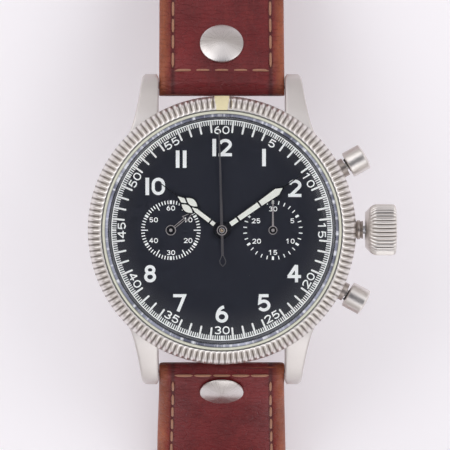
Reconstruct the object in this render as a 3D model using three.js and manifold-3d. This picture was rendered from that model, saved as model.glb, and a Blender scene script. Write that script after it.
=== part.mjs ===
// A chronograph wristwatch on an open two-piece leather strap, built as an assembly of separate pieces.
// Units are millimetres. Z = 0 is the outer face of the case back, +Z runs to the crystal,
// +Y to the 12 o'clock lugs and +X to the crown at 3 o'clock.

import * as THREE from "three";
import { mergeVertices } from "three/addons/utils/BufferGeometryUtils.js";
import Module from "manifold-3d";

const wasm = await Module();
wasm.setup();

// ---------------------------------------------------------------- driving dimensions

const BEZEL_R = 21.5; // outside of the turning bezel
const CASE_R = 20.8; // outside of the case band
const BORE_R = 18.5; // inside of the case band
const NECK_R = 19.85; // outside of the neck that carries the bezel
const CRYSTAL_R = 18.55;
const DIAL_R = 18.3;
const PLATE_R = 15; // movement main plate
const RING_SIDES = 36; // facets on the large rings

// Heights of the layers, from the case back to the crystal.
const Z = {
  backPlate: [0, 1],
  backSpigot: [1, 2.6],
  backGasket: [1.1, 1.7],
  chronoBridge: [2.75, 3.0],
  hammer: [3.12, 3.36],
  chronoWheel: [3.5, 3.65],
  transfer: [3.85, 4.0],
  cock: [3.9, 4.35],
  trainBridge: [4.4, 4.95],
  hairspring: [4.68, 4.82],
  balance: [5.0, 5.3],
  mainPlate: [6.4, 8.2],
  dial: [9.2, 9.6],
  subHand: [9.74, 9.86],
  hourHand: [9.98, 10.12],
  minuteHand: [10.24, 10.38],
  chronoHand: [10.5, 10.64],
};

// Lugs, spring bars and straps.
const LUG_GAP = 20.4;
const LUG_TIP_Y = 25.15;
const BAR = { y: 23.2, z: 3.9, r: 0.8 };
const STRAP = { width: 20, end: 18, fold: 1.7 };
const RIVET = { r: 3.55, shank: 0.9 };

// Crown and pushers.
const CROWN_Z = 7.0;
const CROWN_R = 4.08;
const PUSHER = { angle: 29, offset: 0.8, z: 5.6, r: 2.15 };

// Sub-dials lie left and right of the centre.
const SUB_X = 8.15;

// Hands, degrees clockwise from 12, as they stand at rest.
const HAND_ANGLE = { hour: -52.5, minute: 55.1, chrono: -0.8, seconds: 50.6, counter: 0 };

// Wheel train: centre, teeth and pitch radius of each wheel and pinion.
const BARREL = { at: [4.24, 4.24], teeth: 70, r: 5.25 };
const CENTRE = { at: [0, 0], teeth: 64, r: 4.0, pinion: 10, pinionR: 0.75 };
const THIRD = { at: [-4.42, -0.85], teeth: 60, r: 3.375, pinion: 8, pinionR: 0.5 };
const FOURTH = { at: [-SUB_X, 0], teeth: 70, r: 3.2, pinion: 8, pinionR: 0.45 };
const ESCAPE = { at: [-9.354, -3.308], teeth: 15, r: 2.1, pinion: 7, pinionR: 0.32 };
const PALLET = { at: [-7.92, -5.356] };
const BALANCE = { at: [-6.14, -7.9], r: 3.8, rim: 0.5 };

// Motion work and keyless work.
const MINUTE_WHEEL = { at: [2.49, -1.44], teeth: 30, r: 2.16, pinion: 8, pinionR: 0.576 };
const INTERMEDIATE = { at: [6.375, -1.587], teeth: 24, r: 1.728 };
const SETTING = { at: [9.52, -1.2], teeth: 20, r: 1.44 };
const HOUR_WHEEL = { teeth: 32, r: 2.304 };
const CANNON = { teeth: 10, r: 0.72 };
const CLUTCH = { teeth: 16, r: 1.1 };

// Chronograph train.
const CHRONO = { at: [0, 0], teeth: 60, r: 2.88, pinion: 8, pinionR: 0.575 };
const TRANSFER = { at: [4.007, 0.375], teeth: 48, r: 3.45, pinion: 10, pinionR: 0.69 };
const COUNTER = { at: [SUB_X, 0], teeth: 50, r: 3.45 };
const START_LEVER = { at: [6.5, 9.5] };
const HAMMER = { at: [4.0, -11.5] };

const deg = THREE.MathUtils.degToRad;

// ---------------------------------------------------------------- materials

function finish(color, roughness, metalness) {
  return new THREE.MeshStandardMaterial({ color, roughness, metalness });
}

const MATERIAL = {
  brushedSteel: finish(0xd2cbc8, 0.38, 1),
  polishedSteel: finish(0xe0dcda, 0.12, 1),
  springSteel: finish(0x8f9298, 0.3, 1),
  brass: finish(0xc9a558, 0.35, 1),
  nickel: finish(0xc4c2bc, 0.32, 1),
  dial: finish(0x2c2e37, 0.6, 0),
  blackHand: finish(0x121215, 0.2, 0.2),
  lume: finish(0xf0e4b2, 0.7, 0),
  crystal: finish(0xeef4f4, 0.03, 0),
  gasket: finish(0xc9cf9a, 0.6, 0),
  rubber: finish(0x1b1b1c, 0.8, 0),
  leather: finish(0x6d2e2f, 0.35, 0),
};

// ---------------------------------------------------------------- solids

// A closed three.js geometry as a manifold solid whose faces point out.
function solid(geometry) {
  const bare = geometry.clone();
  bare.deleteAttribute("normal");
  bare.deleteAttribute("uv");
  const merged = mergeVertices(bare, 1e-4);
  const source = merged.index.array;
  const kept = [];
  for (let i = 0; i < source.length; i += 3) {
    const [a, b, c] = [source[i], source[i + 1], source[i + 2]];
    if (a !== b && b !== c && c !== a) kept.push(a, b, c);
  }
  const build = (corners) =>
    new wasm.Manifold(
      new wasm.Mesh({
        numProp: 3,
        vertProperties: new Float32Array(merged.attributes.position.array),
        triVerts: new Uint32Array(corners),
      }),
    );
  const made = build(kept);
  return made.volume() > 0 ? made : build(kept.reverse());
}

function join(...pieces) {
  return pieces.reduce((whole, piece) => whole.add(piece));
}

function cut(body, ...tools) {
  return tools.reduce((left, tool) => left.subtract(tool), body);
}

function geometryOf(made) {
  const mesh = made.getMesh();
  const geometry = new THREE.BufferGeometry();
  geometry.setAttribute("position", new THREE.BufferAttribute(new Float32Array(mesh.vertProperties), 3));
  geometry.setIndex(new THREE.BufferAttribute(new Uint32Array(mesh.triVerts), 1));
  geometry.computeVertexNormals();
  return geometry;
}

// Revolves a profile of [radius, height] points about Z. A profile that leaves the axis is closed on itself.
function turned(profile, sides = RING_SIDES) {
  const points = profile.map(([r, z]) => new THREE.Vector2(r, z));
  if (profile[0][0] > 0) points.push(points[0].clone());
  return solid(new THREE.LatheGeometry(points, sides).rotateX(Math.PI / 2));
}

function tube(outer, inner, z0, z1, sides = RING_SIDES) {
  return turned([[inner, z0], [outer, z0], [outer, z1], [inner, z1]], sides);
}

function rod(r, z0, z1, sides = 12, at = [0, 0]) {
  return turned([[0, z0], [r, z0], [r, z1], [0, z1]], sides).translate([at[0], at[1], 0]);
}

function extruded(outline, z0, z1, holes = []) {
  const shape = new THREE.Shape(outline.map(([x, y]) => new THREE.Vector2(x, y)));
  for (const hole of holes) shape.holes.push(new THREE.Path(hole.map(([x, y]) => new THREE.Vector2(x, y))));
  const geometry = new THREE.ExtrudeGeometry(shape, { depth: z1 - z0, bevelEnabled: false });
  return solid(geometry.translate(0, 0, z0));
}

function box(size, centre) {
  return solid(new THREE.BoxGeometry(...size).translate(...centre));
}

// Turns a solid that was drawn along Z so that it lies along X.
function alongX(made) {
  return made.rotate([0, 90, 0]);
}

// A bar of constant width between two points, with round ends.
function capsule(from, to, halfWidth, z0, z1, sides = 8) {
  const heading = Math.atan2(to[1] - from[1], to[0] - from[0]);
  const outline = [];
  for (const [end, start] of [[to, -Math.PI / 2], [from, Math.PI / 2]]) {
    for (let i = 0; i <= sides; i += 1) {
      const a = heading + start + (Math.PI * i) / sides;
      outline.push([end[0] + halfWidth * Math.cos(a), end[1] + halfWidth * Math.sin(a)]);
    }
  }
  return extruded(outline, z0, z1);
}

// A toothed disc with two points to a tooth.
function gear(teeth, pitchR, z0, z1, at = [0, 0], phase = 0) {
  const depth = (1.1 * pitchR) / teeth;
  const outline = [];
  for (let i = 0; i < 2 * teeth; i += 1) {
    const a = phase + (Math.PI * i) / teeth;
    const r = pitchR + (i % 2 ? -depth : depth);
    outline.push([at[0] + r * Math.cos(a), at[1] + r * Math.sin(a)]);
  }
  return extruded(outline, z0, z1);
}

const watch = new THREE.Group();
watch.name = "chronograph_wristwatch";

function add(name, made, material) {
  const mesh = new THREE.Mesh(geometryOf(made), material);
  mesh.name = name;
  watch.add(mesh);
}

// ---------------------------------------------------------------- case

// Outlines of one lug, seen from above as [x, y] and from the side as [y, z].
const LUG_PLAN = [
  [LUG_GAP / 2, 10], [17.9, 10], [14.62, 16.3], [13.55, 20.5], [12.85, 24.7], [12.4, LUG_TIP_Y],
  [LUG_GAP / 2, LUG_TIP_Y],
];
const LUG_SIDE = [
  [8, 1.9], [17, 1.5], [21, 0.8], [24, 0.9], [25, 1.8], [LUG_TIP_Y, 3.2], [24.9, 4.7], [23.6, 6.1],
  [21, 7.7], [18, 9.1], [15.5, 9.6], [8, 9.6],
];

function lug(signX, signY) {
  const plan = extruded(LUG_PLAN, 0, 12);
  const side = extruded(LUG_SIDE, 0, 24).rotate([90, 0, 90]);
  return mirrored(plan.intersect(side), signX, signY);
}

function mirrored(made, signX, signY) {
  let out = made;
  if (signX < 0) out = out.mirror([1, 0, 0]);
  if (signY < 0) out = out.mirror([0, 1, 0]);
  return out;
}

// Places a solid drawn along +X on the axis of a pusher; side is +1 for the upper pusher.
function onPusherAxis(made, side) {
  const [c, s] = [Math.cos(deg(PUSHER.angle)), Math.sin(deg(PUSHER.angle))];
  const placed = made
    .rotate([0, 0, PUSHER.angle])
    .translate([PUSHER.offset * s, -PUSHER.offset * c, PUSHER.z]);
  return side > 0 ? placed : placed.mirror([0, 1, 0]);
}

const WATER_TUBE = { pressR: 1.25, collarR: 1.5, inner: 18.8, shoulder: 20.95 };

function midCase() {
  const band = turned([
    [BORE_R, 1.85], [19.5, 1.85], [19.5, 1.3], [19.95, 1.3], [20.45, 1.7], [CASE_R, 2.8], [CASE_R, 9.2],
    [20.4, 9.75], [NECK_R, 9.8], [NECK_R, 10.68], [19.5, 10.68], [19.5, 11.32], [NECK_R, 11.32],
    [NECK_R, 12.2], [19.12, 12.2], [19.12, 11.05], [BORE_R, 11.05],
  ]);
  const lugs = [];
  const room = rod(BORE_R + 0.8, -1, 14, RING_SIDES);
  for (const sx of [1, -1]) for (const sy of [1, -1]) lugs.push(cut(lug(sx, sy), room));
  const barHoles = [];
  for (const sy of [1, -1]) {
    barHoles.push(alongX(rod(0.62, -11.5, 11.5, 10)).translate([0, sy * BAR.y, BAR.z]));
  }
  const tubeHole = alongX(rod(WATER_TUBE.pressR + 0.06, 17, 22, 16));
  return cut(
    join(band, ...lugs),
    ...barHoles,
    tubeHole.translate([0, 0, CROWN_Z]),
    onPusherAxis(tubeHole, 1),
    onPusherAxis(tubeHole, -1),
  );
}

function caseBack() {
  const body = turned([
    [0, 0], [19.4, 0], [20, 0.4], [20, 1], [18.4, 1], [18.4, 2.6], [17, 2.6], [17, 1], [0, 1],
  ]);
  const notches = [];
  for (let i = 0; i < 6; i += 1) {
    notches.push(box([2, 2.4, 1], [19.6, 0, 0.05]).rotate([0, 0, 30 + 60 * i]));
  }
  return cut(body, ...notches);
}

function waterTube(collarEnd, boreR, grooved) {
  const t = WATER_TUBE;
  const collar = grooved ? 1.55 : t.collarR;
  const profile = [[boreR, t.inner], [t.pressR, t.inner], [t.pressR, t.shoulder], [collar, t.shoulder]];
  if (grooved) {
    profile.push([collar, 21.5], [1.3, 21.65], [collar, 21.8], [collar, 22.2], [1.3, 22.35]);
  }
  profile.push([collar, collarEnd], [boreR, collarEnd]);
  return alongX(turned(profile, 12));
}

function bezel() {
  return turned([
    [20, 9.95], [21.2, 9.95], [BEZEL_R, 10.25], [BEZEL_R, 11.5], [21.15, 12.3], [20.6, 12.85], [19.2, 13.3],
    [19.2, 12.35], [20, 12.35], [20, 11.32], [20.35, 11.32], [20.35, 10.68], [20, 10.68],
  ]);
}

// The marker at 12 lies over the bezel's flutes, just clear of the metal.
function bezelMarker() {
  const side = extruded(
    [[19.25, 13.42], [20.65, 12.99], [21.25, 12.42], [21.62, 11.6], [21.62, 10.6], [21.8, 10.6], [21.8, 11.7],
      [21.4, 12.6], [20.75, 13.17], [19.25, 13.62]],
    -2,
    2,
  ).rotate([90, 0, 90]);
  const plan = extruded([[-0.9, 19], [0.9, 19], [1.22, 21.9], [-1.22, 21.9]], 8, 15);
  return side.intersect(plan);
}

function crystal() {
  const dome = [];
  const under = [];
  const steps = 3;
  for (let i = 0; i <= steps; i += 1) {
    const f = i / steps;
    dome.push([18.2 * (1 - f), 13.35 + 1.95 * Math.sin((Math.PI / 2) * f)]);
    under.push([17.7 * f, 13.2 - 2.0 * (1 - Math.cos((Math.PI / 2) * f))]);
  }
  return turned([...under, [17.9, 11.15], [CRYSTAL_R, 11.15], [CRYSTAL_R, 12.95], ...dome]);
}

function springRing() {
  const profile = [];
  for (let i = 0; i < 4; i += 1) {
    profile.push([19.925 + 0.27 * Math.cos((Math.PI * i) / 2), 11 + 0.27 * Math.sin((Math.PI * i) / 2)]);
  }
  return turned(profile);
}

add("mid_case", midCase(), MATERIAL.brushedSteel);
add("case_back", caseBack(), MATERIAL.brushedSteel);
add("case_back_gasket", tube(19.3, 18.65, ...Z.backGasket), MATERIAL.rubber);
add("bezel", bezel(), MATERIAL.brushedSteel);
add("bezel_marker", bezelMarker(), MATERIAL.lume);
add("bezel_spring", springRing(), MATERIAL.springSteel);
add("crystal", crystal(), MATERIAL.crystal);
add("crystal_gasket", tube(19.07, 18.63, 11.12, 13.15), MATERIAL.gasket);
add("flange_ring", turned([[17.75, 9.68], [18.4, 9.68], [18.4, 10.95], [18.05, 10.95]]), MATERIAL.dial);

// ---------------------------------------------------------------- dial and movement plates

const DIAL_FEET = [[-9.5, 10.2], [9.5, -10.2]];

function dial() {
  const feet = DIAL_FEET.map((at) => rod(0.4, 7.2, 9.3, 8, at));
  const holes = [[0, 1.25], [-SUB_X, 0.35], [SUB_X, 0.35]].map(([x, r]) => rod(r, 9, 10, 16, [x, 0]));
  return cut(join(rod(DIAL_R, ...Z.dial, RING_SIDES), ...feet), ...holes);
}

// Round holes through a plate, one for each arbor that turns in it.
function arborHoles(places, z0, z1) {
  return places.map(([at, r]) => rod(r, z0, z1, 8, at));
}

function mainPlate() {
  const holes = arborHoles(
    [[CENTRE.at, 0.58], [FOURTH.at, 0.24], [[SUB_X, 0], 0.24], [THIRD.at, 0.24], [ESCAPE.at, 0.24],
      [PALLET.at, 0.24], [BALANCE.at, 0.24], [BARREL.at, 0.46], [MINUTE_WHEEL.at, 0.28],
      [INTERMEDIATE.at, 0.28], [SETTING.at, 0.28], [DIAL_FEET[0], 0.48], [DIAL_FEET[1], 0.48]],
    6,
    9,
  );
  const stemSlot = box([2.2, 1.3, 4], [9.85, 0, 7]);
  const clutchSlot = box([6, 2.8, 4], [13.3, 0, 7]);
  return cut(rod(PLATE_R, ...Z.mainPlate, RING_SIDES), ...holes, stemSlot, clutchSlot);
}

function movementRing() {
  const ring = tube(18.35, 15.15, 2.8, 9.1);
  const passage = alongX(rod(0.85, 14, 20, 10));
  return cut(
    ring,
    passage.translate([0, 0, CROWN_Z]),
    onPusherAxis(passage, 1),
    onPusherAxis(passage, -1),
  );
}

const COCK_FOOT = [-2.0, -11.1];
const LEVER_TAB_X = 14.35; // distance of the lever tabs from the centre, along the pusher axes

function trainBridge() {
  const [z0, z1] = Z.trainBridge;
  const tabRoom = box([3.4, 3.4, 2], [LEVER_TAB_X, 0, 0]);
  return cut(
    rod(14.6, z0, z1, 32),
    ...arborHoles(
      [[CENTRE.at, 0.58], [FOURTH.at, 0.24], [COUNTER.at, 0.24], [THIRD.at, 0.24], [ESCAPE.at, 0.24],
        [BARREL.at, 0.46], [TRANSFER.at, 0.24]],
      4,
      6,
    ),
    capsule(BALANCE.at, COCK_FOOT, 1.5, 4, 6),
    rod(4.2, 4, 6, 18, BALANCE.at),
    onPusherAxis(tabRoom, 1).translate([0, 0, -1]),
    onPusherAxis(tabRoom, -1).translate([0, 0, -1]),
  );
}

function balanceCock() {
  const arm = capsule(BALANCE.at, COCK_FOOT, 1.1, ...Z.cock);
  const foot = rod(1.0, Z.cock[1] - 0.2, 6.3, 12, COCK_FOOT);
  return cut(join(arm, foot), rod(0.2, 3, 5, 8, BALANCE.at));
}

const PILLARS = [[-4.5, 0], [12.8, 0]];

function chronoBridge() {
  const plate = capsule(PILLARS[0], PILLARS[1], 1.3, ...Z.chronoBridge);
  const pillars = PILLARS.map((at) => rod(0.55, 2.9, 4.3, 10, at));
  const arbors = [[TRANSFER.at, 0.2], [COUNTER.at, 0.2], [[0, 0], 0.28]];
  return cut(join(plate, ...pillars), ...arborHoles(arbors, 2, 3.4));
}

add("dial", dial(), MATERIAL.dial);
add("main_plate", mainPlate(), MATERIAL.nickel);
add("movement_ring", movementRing(), MATERIAL.brass);
add("train_bridge", trainBridge(), MATERIAL.nickel);
add("balance_cock", balanceCock(), MATERIAL.nickel);
add("chrono_bridge", chronoBridge(), MATERIAL.nickel);

// ---------------------------------------------------------------- going train and escapement

function barrel() {
  const drum = rod(4.85, 5.45, 6.25, 20, BARREL.at);
  return join(drum, gear(BARREL.teeth, BARREL.r, 5.45, 5.65, BARREL.at), rod(0.4, 4.55, 7.6, 10, BARREL.at));
}

// The centre wheel's arbor is a tube, so that the chronograph arbor can pass through it.
function centreWheel() {
  const body = join(
    gear(CENTRE.teeth, CENTRE.r, 5.1, 5.25),
    gear(CENTRE.pinion, CENTRE.pinionR, 5.2, 6.2),
    rod(0.5, 4.5, 9.9, 12),
  );
  return cut(body, rod(0.32, 4, 11, 12));
}

function trainWheel(wheel, wheelZ, pinionZ, arborZ) {
  return join(
    gear(wheel.teeth, wheel.r, ...wheelZ, wheel.at),
    gear(wheel.pinion, wheel.pinionR, ...pinionZ, wheel.at),
    rod(0.18, ...arborZ, 8, wheel.at),
  );
}

function balanceWheel() {
  const [x, y] = BALANCE.at;
  const rim = tube(BALANCE.r, BALANCE.r - BALANCE.rim, ...Z.balance, 24);
  const arm = box([2 * BALANCE.r - 0.5, 0.5, 0.2], [0, 0, 5.15]);
  const roller = rod(0.6, 5.42, 5.56, 12);
  const staff = rod(0.15, 4.0, 6.9, 8);
  return join(rim, arm, arm.rotate([0, 0, 90]), roller, rod(0.5, 5.0, 5.3, 12), staff).translate([x, y, 0]);
}

// A flat spiral ribbon between the collet and the stud.
function hairspring() {
  const [turns, perTurn, r0, r1, width] = [3, 10, 0.55, 2.6, 0.14];
  const outer = [];
  const inner = [];
  for (let i = 0; i <= turns * perTurn; i += 1) {
    const a = (2 * Math.PI * i) / perTurn;
    const r = r0 + ((r1 - r0) * i) / (turns * perTurn);
    outer.push([BALANCE.at[0] + (r + width) * Math.cos(a), BALANCE.at[1] + (r + width) * Math.sin(a)]);
    inner.unshift([BALANCE.at[0] + r * Math.cos(a), BALANCE.at[1] + r * Math.sin(a)]);
  }
  return extruded([...outer, ...inner], ...Z.hairspring);
}

function palletFork() {
  const [px, py] = PALLET.at;
  const toEscape = Math.atan2(ESCAPE.at[1] - py, ESCAPE.at[0] - px);
  const toBalance = Math.atan2(BALANCE.at[1] - py, BALANCE.at[0] - px);
  const bar = box([0.3, 2.9, 0.15], [0, 0, 0]);
  const stones = [1, -1].map((s) => box([0.55, 0.25, 0.15], [0.25, s * 1.32, 0]));
  const head = join(bar, ...stones).rotate([0, 0, THREE.MathUtils.radToDeg(toEscape)]);
  const fork = box([2.1, 0.3, 0.15], [1.05, 0, 0]).rotate([0, 0, THREE.MathUtils.radToDeg(toBalance)]);
  return join(head, fork, rod(0.18, -0.1, 1.3, 8)).translate([px, py, 5.725]);
}

add("barrel", barrel(), MATERIAL.brass);
add("centre_wheel", centreWheel(), MATERIAL.brass);
add("third_wheel", trainWheel(THIRD, [5.9, 6.05], [5.0, 5.5], [4.5, 6.9]), MATERIAL.brass);
add("fourth_wheel", trainWheel(FOURTH, [5.4, 5.55], [5.75, 6.2], [4.5, 9.86]), MATERIAL.brass);
add("escape_wheel", trainWheel(ESCAPE, [5.65, 5.8], [5.3, 5.66], [4.5, 6.9]), MATERIAL.springSteel);
add("pallet_fork", palletFork(), MATERIAL.springSteel);
add("balance_wheel", balanceWheel(), MATERIAL.brass);
add("hairspring", hairspring(), MATERIAL.springSteel);

// ---------------------------------------------------------------- motion work and keyless work

function cannonPinion() {
  const body = join(gear(CANNON.teeth, CANNON.r, 8.3, 8.62), rod(0.7, 8.3, 10.38, 12));
  return cut(body, rod(0.56, 8, 11, 12));
}

function hourWheel() {
  const body = join(gear(HOUR_WHEEL.teeth, HOUR_WHEEL.r, 8.76, 8.9), rod(1.1, 8.76, 10.12, 16));
  return cut(body, rod(0.8, 8, 11, 16));
}

function minuteWheel() {
  return join(
    gear(MINUTE_WHEEL.teeth, MINUTE_WHEEL.r, 8.4, 8.54, MINUTE_WHEEL.at),
    gear(MINUTE_WHEEL.pinion, MINUTE_WHEEL.pinionR, 8.5, 8.92, MINUTE_WHEEL.at),
    rod(0.22, 7.0, 8.5, 8, MINUTE_WHEEL.at),
  );
}

function settingWheel(wheel) {
  return join(gear(wheel.teeth, wheel.r, 8.4, 8.54, wheel.at), rod(0.22, 7.0, 8.5, 8, wheel.at));
}

// The sliding pinion turns with the square of the stem; its end teeth face the setting wheel.
function clutchWheel() {
  const face = gear(CLUTCH.teeth, CLUTCH.r, 10.45, 11.1);
  const waist = rod(0.85, 11.0, 12.5, 10);
  return alongX(cut(join(face, waist), rod(0.52, 10, 13, 4))).translate([0, 0, CROWN_Z]);
}

function windingStem() {
  return alongX(join(rod(0.45, 10.2, 14.3, 4), rod(0.6, 14.1, 18.0, 12), rod(0.67, 17.9, 26.3, 12)))
    .translate([0, 0, CROWN_Z]);
}

function crown() {
  const core = turned(
    [[0.75, 24.6], [1.72, 24.6], [1.72, 23.1], [3.0, 23.1], [3.8, 24.2], [3.8, 27.7], [2.6, 28.12], [0, 28.15],
      [0, 26.5], [0.75, 26.5]],
    14,
  );
  const flutes = gear(28, CROWN_R - 0.08, 24.5, 27.4);
  return alongX(join(core, cut(flutes, rod(3.2, 20, 30, 14)))).translate([0, 0, CROWN_Z]);
}

add("cannon_pinion", cannonPinion(), MATERIAL.springSteel);
add("hour_wheel", hourWheel(), MATERIAL.brass);
add("minute_wheel", minuteWheel(), MATERIAL.brass);
add("intermediate_wheel", settingWheel(INTERMEDIATE), MATERIAL.springSteel);
add("setting_wheel", settingWheel(SETTING), MATERIAL.springSteel);
add("clutch_wheel", clutchWheel(), MATERIAL.springSteel);
add("winding_stem", windingStem(), MATERIAL.springSteel);
add("crown", crown(), MATERIAL.brushedSteel);
add("crown_gasket", alongX(tube(1.6, 0.78, 24.12, 24.5, 12)).translate([0, 0, CROWN_Z]), MATERIAL.rubber);
add("crown_tube", waterTube(22.7, 0.76, true).translate([0, 0, CROWN_Z]), MATERIAL.polishedSteel);

// ---------------------------------------------------------------- pushers

function pusher() {
  return alongX(
    turned(
      [[0, 15.0], [0.6, 15.0], [0.6, 24.4], [1.6, 24.4], [1.6, 22.8], [2.0, 22.8], [PUSHER.r, 22.95],
        [PUSHER.r, 25.5], [1.9, 25.85], [0, 26.1]],
      14,
    ),
  );
}

// A coil spring between the tube and the head of the pusher.
function pusherSpring() {
  const [turns, perTurn, radius, wire] = [3, 7, 1.08, 0.17];
  const points = [];
  for (let i = 0; i <= turns * perTurn; i += 1) {
    const a = (2 * Math.PI * i) / perTurn;
    const along = 22.68 + (1.45 * i) / (turns * perTurn);
    points.push(new THREE.Vector3(along, radius * Math.cos(a), radius * Math.sin(a)));
  }
  const section = new THREE.Shape();
  for (let i = 0; i < 4; i += 1) {
    const a = (2 * Math.PI * i) / 4;
    if (i === 0) section.moveTo(wire, 0);
    else section.lineTo(wire * Math.cos(a), wire * Math.sin(a));
  }
  const path = new THREE.CatmullRomCurve3(points);
  const sweep = { steps: turns * perTurn, extrudePath: path, bevelEnabled: false };
  return solid(new THREE.ExtrudeGeometry(section, sweep));
}

for (const [name, side] of [["start", 1], ["reset", -1]]) {
  add(`${name}_pusher`, onPusherAxis(pusher(), side), MATERIAL.polishedSteel);
  add(`${name}_pusher_tube`, onPusherAxis(waterTube(22.4, 0.68, false), side), MATERIAL.polishedSteel);
  add(`${name}_pusher_spring`, onPusherAxis(pusherSpring(), side), MATERIAL.springSteel);
}

// ---------------------------------------------------------------- chronograph work

function heartCam() {
  const outline = [];
  for (let i = 0; i < 16; i += 1) {
    const a = (2 * Math.PI * i) / 16;
    const r = 0.55 + 0.5 * Math.sin(a / 2);
    outline.push([r * Math.cos(a), r * Math.sin(a)]);
  }
  return extruded(outline, ...Z.hammer);
}

function chronoWheel() {
  return join(
    gear(CHRONO.teeth, CHRONO.r, ...Z.chronoWheel),
    gear(CHRONO.pinion, CHRONO.pinionR, 3.6, 4.1),
    heartCam(),
    rod(0.22, 2.8, 10.8, 10),
  );
}

function transferWheel() {
  return join(
    gear(TRANSFER.teeth, TRANSFER.r, ...Z.transfer, TRANSFER.at),
    gear(TRANSFER.pinion, TRANSFER.pinionR, 3.5, 3.9, TRANSFER.at),
    rod(0.15, 2.8, 4.8, 8, TRANSFER.at),
  );
}

function counterWheel() {
  const wheel = gear(COUNTER.teeth, COUNTER.r, ...Z.chronoWheel, COUNTER.at);
  return join(wheel, rod(0.15, 2.8, 9.86, 8, COUNTER.at));
}

// The place of a lever's upright tab on the axis of its pusher; side is +1 for the upper pusher.
function tabPlace(side) {
  const [c, s] = [Math.cos(deg(PUSHER.angle)), Math.sin(deg(PUSHER.angle))];
  return [LEVER_TAB_X * c + PUSHER.offset * s, side * (LEVER_TAB_X * s - PUSHER.offset * c)];
}

function leverTab(side) {
  return onPusherAxis(box([0.5, 1.6, 3.0], [LEVER_TAB_X, 0, -1.0]), side);
}

function startLever() {
  return join(
    capsule(START_LEVER.at, tabPlace(1), 0.55, 3.12, 3.4),
    capsule(START_LEVER.at, [2.6, 5.2], 0.45, 3.12, 3.4),
    rod(0.9, 3.12, 4.3, 10, START_LEVER.at),
    leverTab(1),
  );
}

function resetHammer() {
  return join(
    capsule(HAMMER.at, tabPlace(-1), 0.55, ...Z.hammer),
    capsule(HAMMER.at, [3.0, -1.6], 0.45, ...Z.hammer),
    box([0.8, 2.0, Z.hammer[1] - Z.hammer[0]], [2.8, -1.0, (Z.hammer[0] + Z.hammer[1]) / 2]),
    rod(0.9, Z.hammer[0], 4.3, 10, HAMMER.at),
    leverTab(-1),
  );
}

add("chrono_wheel", chronoWheel(), MATERIAL.brass);
add("counter_transfer_wheel", transferWheel(), MATERIAL.brass);
add("minute_counter_wheel", counterWheel(), MATERIAL.brass);
add("start_lever", startLever(), MATERIAL.springSteel);
add("reset_hammer", resetHammer(), MATERIAL.springSteel);

// ---------------------------------------------------------------- hands

// A whole outline from half of it, as [half width, distance from the axis] points; way is -1 for a tail.
function bothHalves(half, way) {
  const near = half.map(([v, u]) => [way * v, way * u]);
  const far = half.map(([v, u]) => [-way * v, way * u]).reverse();
  return [...near, ...far];
}

// Draws a hand that points to 12, with its hub and its hole, then turns it to its angle.
function hand(half, tail, hubR, holeR, [z0, z1], angle, at = [0, 0]) {
  const pieces = [extruded(bothHalves(half, 1), z0, z1), rod(hubR, z0, z1, 20)];
  if (tail) pieces.push(extruded(bothHalves(tail, -1), z0, z1));
  return cut(join(...pieces), rod(holeR, z0 - 1, z1 + 1, 12))
    .rotate([0, 0, -angle])
    .translate([at[0], at[1], 0]);
}

const HOUR_OUTLINE = [
  [0.62, 0], [0.62, 5.2], [1.15, 5.6], [1.52, 6.3], [1.5, 7.0], [1.1, 7.6], [0.72, 7.9], [0.42, 8.9], [0.14, 9.6],
  [0.07, 12.2],
];
const MINUTE_OUTLINE = [[0.7, 0], [0.78, 7.2], [0.92, 10.9], [0.5, 11.6], [0.16, 12.3], [0.07, 16.1]];
const CHRONO_OUTLINE = [[0.26, 0], [0.11, 15.9]];
const CHRONO_TAIL = [[0.2, 0], [0.2, 4.0], [0.57, 5.0], [0.4, 5.6], [0.1, 5.8]];
const SECONDS_OUTLINE = [[0.17, 0], [0.17, 2.7], [0.62, 2.8], [0.06, 4.7]];
const COUNTER_OUTLINE = [[0.16, 0], [0.07, 4.7]];

add(
  "hour_hand",
  hand(HOUR_OUTLINE, null, 1.5, 1.13, Z.hourHand, HAND_ANGLE.hour),
  MATERIAL.blackHand,
);
add(
  "minute_hand",
  hand(MINUTE_OUTLINE, null, 1.2, 0.73, Z.minuteHand, HAND_ANGLE.minute),
  MATERIAL.blackHand,
);
add(
  "chrono_seconds_hand",
  hand(CHRONO_OUTLINE, CHRONO_TAIL, 0.8, 0.25, Z.chronoHand, HAND_ANGLE.chrono),
  MATERIAL.blackHand,
);
add(
  "small_seconds_hand",
  hand(SECONDS_OUTLINE, null, 0.8, 0.2, Z.subHand, HAND_ANGLE.seconds, FOURTH.at),
  MATERIAL.blackHand,
);
add(
  "minute_counter_hand",
  hand(COUNTER_OUTLINE, null, 0.66, 0.18, Z.subHand, HAND_ANGLE.counter, COUNTER.at),
  MATERIAL.blackHand,
);

// ---------------------------------------------------------------- straps, buckle and keepers

// The underside of a strap, as slopes in degrees below level at distances along it from the spring bar.
const SLOPES_12 = [[0, 33], [9, 30], [15, 22], [24, 12], [74, 7.5]];
const SLOPES_6 = [[0, 59], [3.2, 52], [9, 49], [17, 44], [24, 33], [35, 0], [118, 0]];
const LENGTH_12 = 74;
const LENGTH_6 = 116;
const PATH_STEP = 0.25;

function slopeAt(slopes, s) {
  const next = slopes.findIndex(([end]) => end >= s);
  if (next <= 0) return deg(next === 0 ? slopes[0][1] : slopes.at(-1)[1]);
  const [[s0, a0], [s1, a1]] = [slopes[next - 1], slopes[next]];
  return deg(a0 + ((a1 - a0) * (s - s0)) / (s1 - s0));
}

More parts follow.
